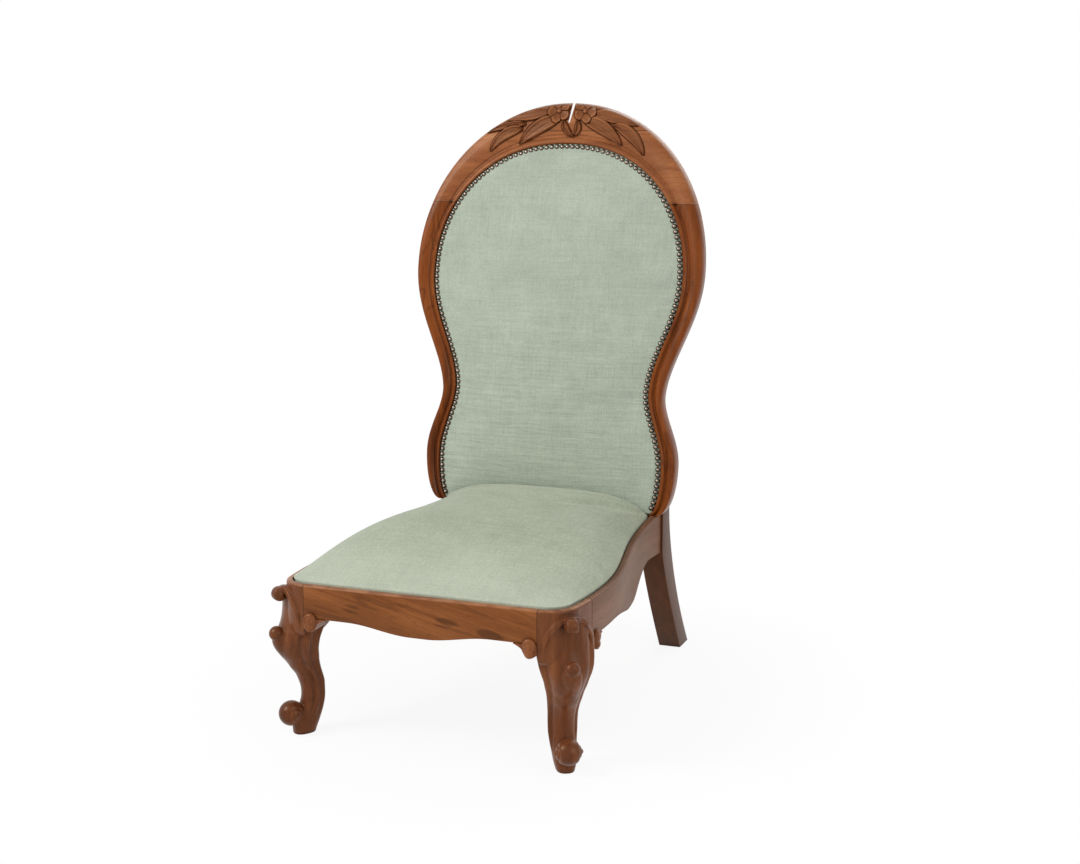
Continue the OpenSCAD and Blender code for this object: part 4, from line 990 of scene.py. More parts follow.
@dataclass(frozen=True)
class CrestCarving:
    """Leaves and two flowers on the crest, as a height above the moulding.

    A place is a share k of the balloon's half width along the outer edge, and a share s of the way
    across the face; metres are k times that half width and s times the crest's face.
    """

    metric: tuple[float, float]
    flower_r: float = 0.3 * S.crest_face
    eye_r: float = 0.0042
    wall: float = 0.0009

    # A leaf's start, the point that its curve is drawn towards, its tip, and its half width as a
    # share of the crest's face
    leaves = (
        (-0.13, 0.17, -0.275, 0.15, -0.42, 0.05, 0.16),
        (-0.30, 0.34, -0.43, 0.19, -0.56, 0.05, 0.085),
        (-0.06, 0.38, -0.21, 0.45, -0.34, 0.80, 0.19),
        (-0.33, 0.44, -0.48, 0.29, -0.555, 0.60, 0.15),
        (0.205, 0.19, 0.345, 0.15, 0.495, 0.05, 0.16),
        (0.13, 0.38, 0.29, 0.44, 0.415, 0.73, 0.19),
        (0.36, 0.33, 0.505, 0.29, 0.585, 0.63, 0.17),
        (-0.015, 0.46, -0.01, 0.69, 0.05, 0.82, 0.075),
        (0.08, 0.44, 0.095, 0.64, 0.06, 0.79, 0.075))
    # Middle of each flower, and its turn in degrees
    flowers = ((-0.056, 0.18, 36.0), (0.126, 0.17, 0.0))

    def leaf(self, ground: Array, u: Array, v: Array, shares: Sequence[float]) -> Array:
        """Lays one leaf over the carving so far.

        The leaf's line is a quadratic curve. Its half width is a power of a sine along it; across
        it the relief has two raised rims, a hollow on one side, a midrib, a steep wall and a V
        groove round it.

        Args:
            ground: Height so far.
            u: Places along the crest, in metres.
            v: Places across the face, in metres.
            shares: Three places and the half width.

        Returns:
            The new height.
        """
        t = np.linspace(0, 1, 61)[:, None]
        a, b, c = np.array(shares[:6]).reshape(3, 2) * np.array(self.metric)
        line = (1 - t) ** 2 * a + 2 * t * (1 - t) * b + t ** 2 * c
        step = 2 * (1 - t) * (b - a) + 2 * t * (c - b)
        pace = np.linalg.norm(step, axis=1)
        gap_u, gap_v = u[..., None] - line[:, 0], v[..., None] - line[:, 1]
        near = np.argmin(gap_u ** 2 + gap_v ** 2, -1)
        off_u, off_v = u - line[near, 0], v - line[near, 1]
        dir_u, dir_v = step[near, 0] / pace[near], step[near, 1] / pace[near]
        along, side = off_u * dir_u + off_v * dir_v, off_u * dir_v - off_v * dir_u
        past_end = np.where(near == len(t) - 1, np.maximum(0.0, along), 0.0)
        beyond = np.where(near == 0, np.maximum(0.0, -along), past_end)
        away = np.hypot(side, beyond)
        run = unit(t[near, 0] + along / pace[near])
        half = shares[6] * self.metric[1] * np.sin(np.pi * mix(0.05, 0.985, run ** 0.8)) ** 0.65
        rho = away / half
        relief = (0.62 + 0.48 * hump(rho - 0.74, 0.24) + 0.22 * hump(rho, 0.13)
                  - 0.34 * hump(rho * np.sign(side) + 0.38, 0.26))
        height = S.carve_proud * relief * mix(1.05, 0.70, run ** 2)
        groove = 0.0016 * hump(away - half - 0.0006, 0.0011)
        return mix(ground - groove, height, ease((half - away) / self.wall + 0.5))

    def flower(self, ground: Array, u: Array, v: Array, place: Sequence[float]) -> Array:
        """Lays one flower over the carving so far.

        Its rim is a circle drawn in between five petals. Each petal is cupped, leans a little over
        its neighbour and has a groove beside it; the eye is a small dome in a ring.

        Args:
            ground: Height so far.
            u: Places along the crest, in metres.
            v: Places across the face, in metres.
            place: Middle as shares, and turn in degrees.

        Returns:
            The new height.
        """
        off_u, off_v = u - place[0] * self.metric[0], v - place[1] * self.metric[1]
        away, angle = np.hypot(off_u, off_v), np.arctan2(off_v, off_u) - math.radians(place[2])
        petal = np.abs(np.cos(2.5 * angle))
        rim = self.flower_r * (1 - 0.24 * (1 - petal))
        rho = away / rim
        lean = np.mod(angle * 5 / (2 * np.pi) + 0.5, 1.0) - 0.5
        relief = (0.62 + 0.62 * unit(rho) ** 2.5 - 0.22 * hump(rho - 0.45, 0.22)
                  + 0.42 * lean * unit(rho * 1.6))
        between = 0.55 * hump(petal, 0.16) * unit((rho - 0.22) / 0.15)
        height = S.carve_proud * (relief - between)
        eye = away / self.eye_r
        dome = 0.0022 * np.sqrt(np.maximum(0.0, 1 - eye ** 2))
        height = height + dome - 0.0016 * hump(eye - 1.25, 0.28)
        groove = 0.0018 * hump(away - rim - 0.0006, 0.0012)
        return mix(ground - groove, height, ease((rim - away) / self.wall + 0.5))

    def lift(self, k: Array, s: Array) -> Array:
        """Height of the carving at places of the crest, fading out at its outer edge."""
        u, v = k * self.metric[0], s * self.metric[1]
        height = np.zeros(np.broadcast(u, v).shape)
        u, v = np.broadcast_to(u, height.shape), np.broadcast_to(v, height.shape)
        for shares in self.leaves:
            height = self.leaf(height, u, v, shares)
        for place in self.flowers:
            height = self.flower(height, u, v, place)
        return height * ease(s / 0.035) * ease((0.97 - s) / 0.05)


@dataclass
class BackFrame:
    """Show-wood frame of the back: two stiles, the crest and its cap, with one running moulding."""

    finishes: Finishes
    outer: Edge = field(init=False)
    inner: Edge = field(init=False)
    carving: CrestCarving = field(init=False)
    crack_lean: float = 17.0
    crack_len: float = 0.5 * S.crest_face
    crack_head: float = 0.0028
    crack_foot: float = 0.0012
    crack_aside: float = 0.37
    crack_up: float = 0.03

    # Section of the face: place across, and depth as a share of back_t
    roll_shares = (
        (0.0, 0.40), (0.04, 0.17), (0.15, 0.04), (0.34, 0.0), (0.62, 0.02), (0.85, 0.09),
        (1.0, 0.16))
    bead_shares = (
        (0.0, 0.16), (0.14, 0.24), (0.30, 0.22), (0.48, 0.11), (0.70, 0.05), (0.88, 0.08),
        (1.0, 0.17))

    def __post_init__(self) -> None:
        """Works out both outlines from the sizes."""
        shift = S.back_rise * 0.01
        balloon_z, waist_z, bulge_z = (S.foot_z + S.balloon_rise, S.foot_z + S.waist_rise,
                                       S.foot_z + S.bulge_rise)
        self.outer = Edge(S.balloon_wide / 2, S.waist_wide / 2, S.bulge_wide / 2, S.foot_wide / 2,
                          S.crest_top, 2.04, balloon_z, waist_z, bulge_z, 0.87)
        self.inner = Edge(S.balloon_wide / 2 - S.shoulder_face, S.waist_wide / 2 - S.waist_face,
                          S.bulge_wide / 2 - S.bulge_face, S.foot_wide / 2 - S.foot_face,
                          S.crest_top - S.crest_face, 2.15, balloon_z - 2 * shift,
                          waist_z + shift, bulge_z - shift, 0.95)
        self.carving = CrestCarving((self.outer.balloon, S.crest_face))

    def section(self, outer: Array, inner: Array, face_columns: int = 22,
                carved: float = 0.0) -> Array:
        """Rings of the moulding between points of the two outlines.

        The roll and the bead are smooth curves through short tables; the ledge behind the pad and
        the flat back close the ring.

        Args:
            outer: Points of the outer outline, shape (rows, 2).
            inner: Matching points of the inner outline.
            face_columns: Number of columns on the roll.
            carved: 1 or -1 for the carving of the right or left half, 0 for none.

        Returns:
            Rings of shape (rows, columns, 3).
        """
        span = np.linalg.norm(inner - outer, axis=1, keepdims=True)
        along = (inner - outer) / span
        bead = S.mould_w + 0.12 * span
        roll = span - bead
        c = np.concatenate([[0.0, 0.012, 0.03], np.linspace(0.05, 1.0, face_columns)])
        roll_depth = smooth_table(c, *zip(*self.roll_shares)) * S.back_t
        k = np.linspace(0.0, 1.0, 16)[1:]
        bead_depth = smooth_table(k, *zip(*self.bead_shares)) * S.back_t
        ones = np.ones_like(span)
        back = np.linspace(0.0, 1.0, 5)
        face = np.hstack([roll * c, roll + bead * k])
        face_depth = np.hstack([ones * roll_depth, ones * bead_depth])
        if carved:
            share = carved * outer[:, :1] / self.outer.balloon
            face_depth = face_depth - self.carving.lift(share, face / span)
        across = np.hstack([
            face, span, span + S.ledge_w, span + S.ledge_w,
            mix(span + S.ledge_w, span * 0.05, back[1:]), 0 * span])
        depth = np.hstack([
            face_depth, ones * S.ledge_drop, ones * S.ledge_drop, ones * S.back_t,
            ones * np.full(4, S.back_t), ones * S.back_t * 0.9])
        x = outer[:, :1] + along[:, :1] * across
        z = outer[:, 1:] + along[:, 1:] * across
        return np.stack([x, back_y(z) + depth, z], -1)

    def stile_rings(self, rows: int = 130) -> Array:
        """Rings of the right-hand stile from its foot to the crest joint."""
        down = np.linspace(0, 1, 24)
        foot = self.outer.bulge_z - (self.outer.bulge_z - S.foot_z) * np.cos(np.pi / 2 * down)
        z = np.concatenate([foot, np.linspace(self.outer.bulge_z, S.joint_z, rows)[1:]])
        outer = np.stack([self.outer.half_width(z), z], -1)
        inner = np.stack([self.inner.half_width(z), z], -1)
        return self.section(outer, inner)

    def crest_rings(self, carved: bool = True) -> Array:
        """Rings of the crest from its right joint over the top to its left joint.

        Both outlines share one angle where the carving is; below it the inner one runs ahead, so
        that both end at the joint's height.
        """
        t = np.concatenate([np.linspace(0, 0.44, 50), np.linspace(0.44, 1, 200)[1:]])
        start, ahead = self.outer.joint_angle, self.inner.joint_angle - self.outer.joint_angle
        angle = mix(start, np.pi / 2, t)
        outer = self.outer.at_angle(angle)
        inner = self.inner.at_angle(angle + ahead * unit(1 - t / 0.4) ** 1.5)
        right, left = (self.section(outer, inner, 56, side * carved) for side in (1.0, -1.0))
        middle = (right[-1:] + left[-1:]) / 2
        return np.concatenate([right[:-1], middle, left[-2::-1] * np.array([-1.0, 1.0, 1.0])])

    def crack(self) -> Shell:
        """Wedge of the shrinkage crack, which leans down from the crest's top between the flowers.

        It runs obliquely through the wood, so that daylight shows through it from the front right.
        """
        lean, over = math.radians(self.crack_lean), 0.01
        down = np.array([-math.sin(lean), -math.cos(lean)])
        head = np.array([0.16 * S.crest_face, S.crest_top]) - down * over
        foot = head + down * (self.crack_len + over)
        wide, narrow = np.array([self.crack_head, 0.0]), np.array([self.crack_foot, 0.0])
        corners = np.array([head - wide, head + wide, foot + narrow, foot - narrow])
        verts, faces = Shapes.prism(corners, S.seat_depth, S.seat_depth + 0.3, corners.mean(0))
        behind = verts[:, 2] - float(back_y(S.crest_top))
        verts[:, 0] -= self.crack_aside * behind
        verts[:, 1] += self.crack_up * behind
        return verts[:, [0, 2, 1]], faces

    def build(self) -> None:
        """Makes both stiles, the crest rail and its cap."""
        stile = Shapes.rings(self.stile_rings())
        for side, word in SIDES:
            obj = Shapes.solid(f"{word}_stile_wood", [Shapes.mirrored(stile, side)])
            mount(obj, Body.CHAIR, "stile_walnut", self.finishes.stile, f"{word}_stile")
        rings = self.crest_rings()
        # Height of the carving at each point, which the crest's material reads to paint shade and
        # highlights
        lift = (self.crest_rings(carved=False) - rings)[..., 1] / S.carve_proud
        for name, sign in (("crest_rail", 1.0), ("crest_cap", -1.0)):
            obj = Shapes.solid(f"{name}_wood", [Shapes.rings(rings)])
            Shapes.marked(obj, "carved", np.append(lift.ravel(), [0.0, 0.0]))
            Shapes.cut(obj, (0.0, 0.0, S.cap_z), (0.0, 0.0, sign))
            if name == "crest_cap":
                Shapes.sawn(obj, self.crack())
            mount(obj, Body.CHAIR, "crest_walnut", self.finishes.crest, name)


@dataclass
class FrontLegs:
    """Cabriole front legs: block, stem, hood, scroll, bud and toe, carved from one piece."""

    finishes: Finishes
    voxel: float = 0.0010
    cove_drop: float = 0.020
    out: Array = field(init=False)
    across: Array = field(init=False)
    middle: Array = field(init=False)

    # Height as a share of seat_top; inner and outer reach as shares of knee_reach; half width as
    # a share of half of knee_wide
    stem_shares = (
        (0, -0.33, 0.33, 0.31), (0.035, -0.38, 0.34, 0.37), (0.078, -0.46, 0.30, 0.41),
        (0.136, -0.54, 0.19, 0.45), (0.194, -0.59, 0.08, 0.47), (0.240, -0.61, 0.04, 0.48),
        (0.295, -0.61, 0.06, 0.49), (0.341, -0.60, 0.13, 0.50), (0.384, -0.54, 0.22, 0.53),
        (0.426, -0.48, 0.37, 0.57), (0.473, -0.43, 0.50, 0.62), (0.516, -0.41, 0.65, 0.69),
        (0.562, -0.39, 0.76, 0.76), (0.601, -0.39, 0.80, 0.84), (0.643, -0.41, 0.77, 0.91),
        (0.675, -0.46, 0.71, 0.94), (0.702, -0.50, 0.64, 0.96), (0.736, -0.54, 0.58, 0.97),
        (0.795, -0.56, 0.53, 0.97), (0.853, -0.56, 0.53, 0.90), (0.900, -0.52, 0.55, 0.74),
        (0.935, -0.44, 0.55, 0.45))
    # Half of a section from its inner side to its nose: place along, and share of the half width
    section_shares = (
        (-1.0, 0.0), (-0.92, 0.62), (-0.74, 0.92), (-0.40, 0.90), (-0.14, 1.0), (0.06, 0.98),
        (0.16, 0.87), (0.48, 0.77), (0.76, 0.57), (0.93, 0.30), (1.0, 0.0))
    # The hood's section: places along and out of the face, as shares of its width and height
    hood_shares = (
        (0.47, -0.6), (0.50, 0.35), (0.43, 0.80), (0.30, 0.95), (0.18, 0.97), (0.13, 0.62),
        (0.07, 0.62), (0.02, 1.0), (-0.15, 1.08), (-0.34, 0.92), (-0.46, 0.50), (-0.50, -0.6))
    # The bud's tail: height as a share of seat_top, reach as a share of knee_reach, radius as a
    # share of bud_r
    tail_shares = (
        (0.39, 0.18, 0.30), (0.426, 0.27, 0.52), (0.473, 0.41, 0.68), (0.516, 0.56, 0.82),
        (0.562, 0.70, 0.95), (0.60, 0.77, 1.02), (0.635, 0.79, 1.0), (0.667, 0.78, 0.75))

    def __post_init__(self) -> None:
        """Works out the leg's own axes."""
        turn = math.radians(S.leg_turn)
        self.out = np.array([math.cos(turn), -math.sin(turn), 0.0])
        self.across = np.array([math.sin(turn), math.cos(turn), 0.0])
        self.middle = np.array([S.seat_front_wide / 2 - S.foot_inset, S.foot_setback, 0.0])

    def at(self, q: Array | float, w: Array | float, z: Array | float) -> Array:
        """Points at a reach, a place across and a height."""
        q, w, z = (np.asarray(v, float)[..., None] for v in np.broadcast_arrays(q, w, z))
        return self.middle + q * self.out + w * self.across + z * np.array([0.0, 0.0, 1.0])

    def stem_row(self, share: Array) -> tuple[Array, Array, Array]:
        """Inner reach, outer reach and half width of the stem, in metres, at shares of seat_top."""
        places, inner, outer, half = zip(*self.stem_shares)
        return (smooth_table(share, places, inner) * S.knee_reach,
                smooth_table(share, places, outer) * S.knee_reach,
                smooth_table(share, places, half) * S.knee_wide / 2)

    def plan(self, inset: float) -> Array:
        """The corner block's outer line in plan: a quarter circle, then the seat's side."""
        a = np.linspace(0, np.pi / 2, 24)[:, None]
        r = S.corner_r - inset
        corner = np.hstack([S.corner_x + r * np.sin(a), S.corner_r - r * np.cos(a)])
        y = np.linspace(S.corner_r, S.leg_block_len, 10)[1:]
        side = side_x(y) - inset / np.sqrt(1 + side_slope(y) ** 2)
        return np.vstack([corner, np.stack([side, y], -1)])

    def block_line(self) -> tuple[Array, Array]:
        """The block's outer line along the leg's own axes: places across, and reach there."""
        line = self.plan(0.0) - self.middle[:2]
        across, reach = line @ self.across[:2], line @ self.out[:2]
        order = np.argsort(across)
        return across[order], reach[order]

    def face(self, w: Array, z: Array) -> Array:
        """Reach of the knee's face: the block or the stem, whichever is further, softly joined."""
        block = np.interp(w, *self.block_line())
        inner, outer, half = self.stem_row(z / S.seat_top)
        nose_shares = ((width, place) for place, width in self.section_shares[-2:3:-1])
        nose = np.interp(np.abs(w) / half, *zip((0, 1), *nose_shares))
        stem = mix(inner, outer, (1 + nose) / 2)
        soft = 0.003
        return (block + stem + np.sqrt((block - stem) ** 2 + soft ** 2)) / 2

    def stem(self, rows: int = 130, columns: int = 41) -> Shell:
        """Stem: sections along a table of heights, round at the foot and beaded above.

        A section runs by an angle from its inner side to its nose; its width is a superellipse at
        the foot and a smooth table above, with a raised fillet between two grooves on each flank.
        """
        share = np.linspace(0, self.stem_shares[-1][0], rows)[:, None]
        inner, outer, half = self.stem_row(share)
        p = np.linspace(0, 1, columns)[None, :]
        u = -np.cos(np.pi * p)
        places, widths = zip(*self.section_shares)
        angles = np.arccos(-np.array(places)) / np.pi
        round_width = (1 - np.abs(u) ** 2.5) ** 0.4
        beaded = unit((share - 0.10) / 0.12)
        proud = 0.0019
        fillet = proud * ease((0.25 - np.abs(u)) / 0.06) - proud * hump(np.abs(u) - 0.28, 0.05)
        width = half * mix(round_width, smooth_table(p, angles, widths), beaded) + fillet * beaded
        reach = mix(inner, outer, (1 + u) / 2)
        q = np.hstack([reach, reach[:, -2:0:-1]])
        w = np.hstack([width, -width[:, -2:0:-1]])
        z = share * S.seat_top
        above = z > S.ledge_z
        q = np.where(above, np.maximum(q, np.interp(w, *self.block_line()) - 0.007), q)
        points = self.at(q, w, z)
        x, y = points[..., 0], points[..., 1]
        held, clear = z >= S.ear_low, 5e-4
        points[..., 0] = np.where(held, np.maximum(x, S.corner_x + clear), x)
        points[..., 1] = np.where(held, np.minimum(y, S.leg_block_len - clear), y)
        return Shapes.rings(points)

    def block(self) -> list[Shell]:
        """Corner block up to the rebate, its cove into the stem, and the rounded lip above it."""
        outline = np.vstack([self.plan(0.0), [[S.corner_x, S.leg_block_len]]])
        hub = np.array([S.corner_x + 0.02, S.leg_block_len / 2])
        lower = Shapes.prism(outline, S.ear_low, S.ledge_z, hub)
        drop = np.linspace(0, 1, 14)[:, None]
        shrink = (1 - 0.42 * (1 - np.cos(np.pi / 2 * drop)))[..., None]
        level = S.ear_low + 5e-4 - self.cove_drop * drop + 0 * outline[:, 0]
        under = np.concatenate([hub + (outline - hub) * shrink, level[..., None]], -1)
        cove = Shapes.rings(under)
        a = np.linspace(0, np.pi / 2, 7)
        insets = np.concatenate([[0.0], S.lip_r * (1 - np.cos(a)), [S.lip_w, S.lip_w]])
        low = S.ledge_z - 0.001
        heights = np.concatenate([[low], S.seat_top - S.lip_r * (1 - np.sin(a)), [S.seat_top, low]])
        rings = [np.column_stack([self.plan(i), np.full(len(self.plan(i)), z)])
                 for i, z in zip(insets, heights)]
        return [lower, cove, Shapes.rings(np.stack(rings, 1))]

    def hood(self) -> Shell:
        """Hood: a grooved band along an arch over the knee, a half turn of sine and cosine."""
        a = np.linspace(0, np.pi, 90)
        w = -S.knee_wide / 2 * 0.93 * np.cos(a)
        z = mix(S.ear_low * 1.02, S.seat_top - 1.45 * S.hood_w, np.sin(a))
        path = np.stack([self.face(w, z), w, z], -1)
        slope = (self.face(w + 1e-3, z) - self.face(w - 1e-3, z)) / 2e-3
        out = np.stack([np.ones_like(w), -slope, np.zeros_like(w)], -1)
        out /= np.linalg.norm(out, axis=1, keepdims=True)
        side = np.cross(out, np.gradient(path, axis=0))
        side /= np.linalg.norm(side, axis=1, keepdims=True)
        along, proud = np.array(self.hood_shares).T
        taper = mix(0.25, 1.0, ease(np.minimum(a, np.pi - a) / 0.55))[:, None, None]
        rise = S.hood_proud * np.where(proud > 0, taper[..., 0] * proud, proud)
        local = (path[:, None] + side[:, None] * (S.hood_w * taper * along[:, None])
                 + out[:, None] * rise[..., None])
        return Shapes.rings(self.at(local[..., 0], local[..., 1], local[..., 2]))

    def ball(self, q: float, z: float, r: float, groove: float = 0.0) -> Shell:
        """Ball whose poles lie across the leg, with a ring groove round each pole."""
        polar = np.linspace(0, np.pi, 49)[:, None]
        turn = np.linspace(0, 2 * np.pi, 57)[None, :-1]
        radius = r - groove * hump(np.minimum(polar, np.pi - polar) - 0.62, 0.09)
        out, w = radius * np.sin(polar), radius * np.cos(polar) + 0 * turn
        points = self.at(q + out * np.cos(turn), w, z + out * np.sin(turn))
        return Shapes.rings(points, caps=False)

    def eye(self, q: float, z: float, r: float, reach: float) -> Shell:
        """Boss across the leg with domed ends: its radius falls as a power of its length."""
        t = np.sin(np.linspace(-np.pi / 2, np.pi / 2, 25))[:, None]
        turn = np.linspace(0, 2 * np.pi, 33)[None, :-1]
        radius = r * np.sqrt(np.maximum(0.0, 1 - np.abs(t) ** 10))
        points = self.at(q + radius * np.cos(turn), reach * t + 0 * turn, z + radius * np.sin(turn))
        return Shapes.rings(points, caps=False)

    def scroll(self) -> list[Shell]:
        """Scroll rolled over outwards at the top of the knee, with a crease under its curl."""
        q0, z0, r = S.knee_reach * 0.70, S.seat_top - 1.85 * S.scroll_r, S.scroll_r
        root = 0.3 * S.knee_reach
        a = np.radians(np.linspace(95, -130, 60))
        arc = mix(r, 0.92 * r, np.linspace(0, 1, 60))
        outline = np.vstack([[[root, z0], [root, z0 + 0.97 * r]],
                             np.stack([q0 + arc * np.cos(a), z0 + arc * np.sin(a)], -1),
                             [[q0 - 0.6 * r, z0]]])
        s = np.sin(np.linspace(-np.pi / 2, np.pi / 2, 19))[:, None]
        swell = mix(0.50, 1.0, (1 - s ** 4) ** 0.5)
        q, z = q0 + (outline[:, 0] - q0) * swell, z0 + (outline[:, 1] - z0) * swell
        roll = Shapes.rings(self.at(q, 0.78 * r * s, z))
        return [roll, self.eye(q0, z0, 0.34 * r, 0.92 * r)]

    def tail(self) -> Shell:
        """The bud's tail, a broad swelling that leans down the stem's nose and thins out."""
        places, reach, radius = zip(*self.tail_shares)
        share = np.linspace(places[0], places[-1], 40)[:, None]
        turn = np.linspace(0, 2 * np.pi, 33)[None, :-1]
        r = S.bud_r * smooth_table(share, places, radius)
        drift = 0.4 * S.bud_r * np.cos(np.pi / 2 * (share - places[0]) / (places[-1] - places[0]))
        q = S.knee_reach * smooth_table(share, places, reach) - 0.28 * r
        return Shapes.rings(self.at(q + 0.9 * r * np.cos(turn), drift + 1.2 * r * np.sin(turn),
                                    share * S.seat_top + 0 * turn))

    def build(self) -> None:
        """Makes both front legs."""
        toe_q, toe_z = 0.41 * S.knee_reach, 1.74 * S.toe_r
        parts = [self.stem(), *self.block(), self.hood(), *self.scroll(), self.tail(),
                 self.ball(0.82 * S.knee_reach, 0.667 * S.seat_top, S.bud_r),
                 self.ball(toe_q, toe_z, S.toe_r, 0.0014),
                 self.eye(toe_q, toe_z, 0.24 * S.toe_r, 1.125 * S.toe_r)]
        for side, word in SIDES:
            shells = [Shapes.mirrored(part, side) for part in parts]
            leg = Shapes.fused(f"front_{word}_leg_wood", shells, self.voxel)
            mount(leg, Body.CHAIR, "leg_walnut", self.finishes.leg, f"front_{word}_leg")


@dataclass
class KneeEars:
    """Brackets glued under the rails beside the front legs, with two volutes on each face."""

    finishes: Finishes
    voxel: float = 0.0006

    # Place along and up from the bracket's low corner, and radius, as shares of ear_r
    volutes = ((1.02, 1.65, 0.95), (0.98, 0.70, 0.70))

    def bracket(self, depth: float) -> Shell:
        """Bracket's outline, drawn with a root curve under the rail, and its depth."""
        t = np.linspace(0, 1, 14)
        root = np.stack([mix(1.85, 3.3, t), 1.8 * (0.4 + 0.6 * np.sqrt(t))], -1)
        low = [[0, 0.5], [0.5, 0.15], [1.05, 0], [1.6, 0.3]]
        outline = np.vstack([low, root, [[0, 1.8]]]) * S.ear_r
        return Shapes.prism(outline, -depth, 0.3 * S.ear_proud, (S.ear_r, 1.3 * S.ear_r))

    def volute(self, along: float, up: float, r: float) -> Shell:
        """Low dome, a cubic superellipse in section, with a spiral groove cut in it."""
        rho = np.concatenate([np.sin(np.linspace(0, np.pi / 2, 26)), [1.0, 0.0]])[:, None]
        turn = np.linspace(0, 2 * np.pi, 57)[None, :-1]
        dome = S.ear_proud * np.maximum(0.0, 1 - rho ** 3) ** (1 / 3) + 0 * turn
        spiral = 0.28 + 0.52 * turn / (2 * np.pi)
        height = dome - 0.0011 * hump(rho - spiral, 0.10)
        height[-2:] = -0.002
        x, y = along + r * rho * np.cos(turn), up + r * rho * np.sin(turn)
        return Shapes.rings(np.stack([x, y, height], -1), caps=False)

    def shells(self, depth: float) -> list[Shell]:
        """An ear's closed shells, as (along, up, out of the face)."""
        volutes = (self.volute(*(share * S.ear_r for share in shares)) for shares in self.volutes)
        return [self.bracket(depth), *volutes]

    def build(self) -> None:
        """Makes the four ears."""
        side_ear_x = float(side_x(S.leg_block_len + 2 * S.ear_r)) + 1e-4
        side_low = S.seat_top - S.side_arch_drop - 1.8 * S.ear_r
        for side, word in SIDES:
            front, flank = [], []
            for v, faces in self.shells(S.rail_t - 1e-4):
                x, y, z = S.corner_x - v[:, 0], -v[:, 2], S.ear_low + v[:, 1]
                front.append((np.stack([side * x, y, z], -1), faces))
            for v, faces in self.shells(S.rail_t - S.lip_r):
                x, y, z = side_ear_x + v[:, 2], S.leg_block_len + v[:, 0], side_low + v[:, 1]
                flank.append((np.stack([side * x, y, z], -1), faces))
            for place, slot, parts in (("front", "rail_walnut", front),
                                       ("side", "side_walnut", flank)):
                obj = Shapes.fused(f"{place}_{word}_ear_wood", parts, self.voxel)
                mount(obj, Body.CHAIR, slot, self.finishes.ear, f"{place}_{word}_ear")


class Upholsterer:
    """Stuffs padded pieces: a closed cover is blown up as cloth from a slightly smaller shape."""

    frames = 20
    pressure = 4.0
    # Steps a frame, mass a point, and stiffness in stretch, shear and bending
    quality, mass, stretch, shear, bending = 6, 0.3, 12.0, 6.0, 0.4

    @staticmethod
    def points(mesh: bpy.types.Mesh) -> Array:
        """A mesh's points, shape (n, 3)."""
        flat = np.empty(len(mesh.vertices) * 3)
        mesh.vertices.foreach_get("co", flat)
        return flat.reshape(-1, 3)

    @classmethod
    def stuff(cls, obj: bpy.types.Object, tacked: Array, reach: float) -> None:
        """Swells a cover as cloth under pressure and subdivides it.

        A hyperbolic tangent holds back points that go too far.

        Args:
            obj: Closed cover, with its rest shape in its mesh.
            tacked: Whether each point is held by tacks or by the frame.
            reach: Most that a point may move, in metres.
        """
        rest = cls.points(obj.data)
        group = obj.vertex_groups.new(name="tacked")
        group.add(np.flatnonzero(tacked).tolist(), 1.0, "REPLACE")
        cloth = obj.modifiers.new("cloth", "CLOTH")
        settings = cloth.settings
        settings.quality, settings.mass = cls.quality, cls.mass
        settings.tension_stiffness = settings.compression_stiffness = cls.stretch
        settings.shear_stiffness, settings.bending_stiffness = cls.shear, cls.bending
        settings.use_pressure, settings.uniform_pressure_force = True, cls.pressure
        settings.vertex_group_mass = group.name
        settings.effector_weights.gravity = 0.0
        cloth.collision_settings.use_collision = False
        cloth.point_cache.frame_start, cloth.point_cache.frame_end = 1, cls.frames
        for frame in range(1, cls.frames + 1):
            bpy.context.scene.frame_set(frame)
        graph = bpy.context.evaluated_depsgraph_get()
        blown = cls.points(obj.evaluated_get(graph).data)
        obj.modifiers.clear()
        obj.vertex_groups.clear()
        bpy.context.scene.frame_set(1)
        moved = blown - rest
        length = np.linalg.norm(moved, axis=1, keepdims=True)
        LOG.info("%s: cover moved by up to %.1f mm", obj.name, 1e3 * float(length.max()))
        held = reach * np.tanh(length / reach)
        final = rest + moved * held / np.maximum(length, 1e-9)
        obj.data.vertices.foreach_set("co", final.ravel())
        obj.data.update()
        finer = obj.modifiers.new("finer", "SUBSURF")
        finer.levels = finer.render_levels = 1


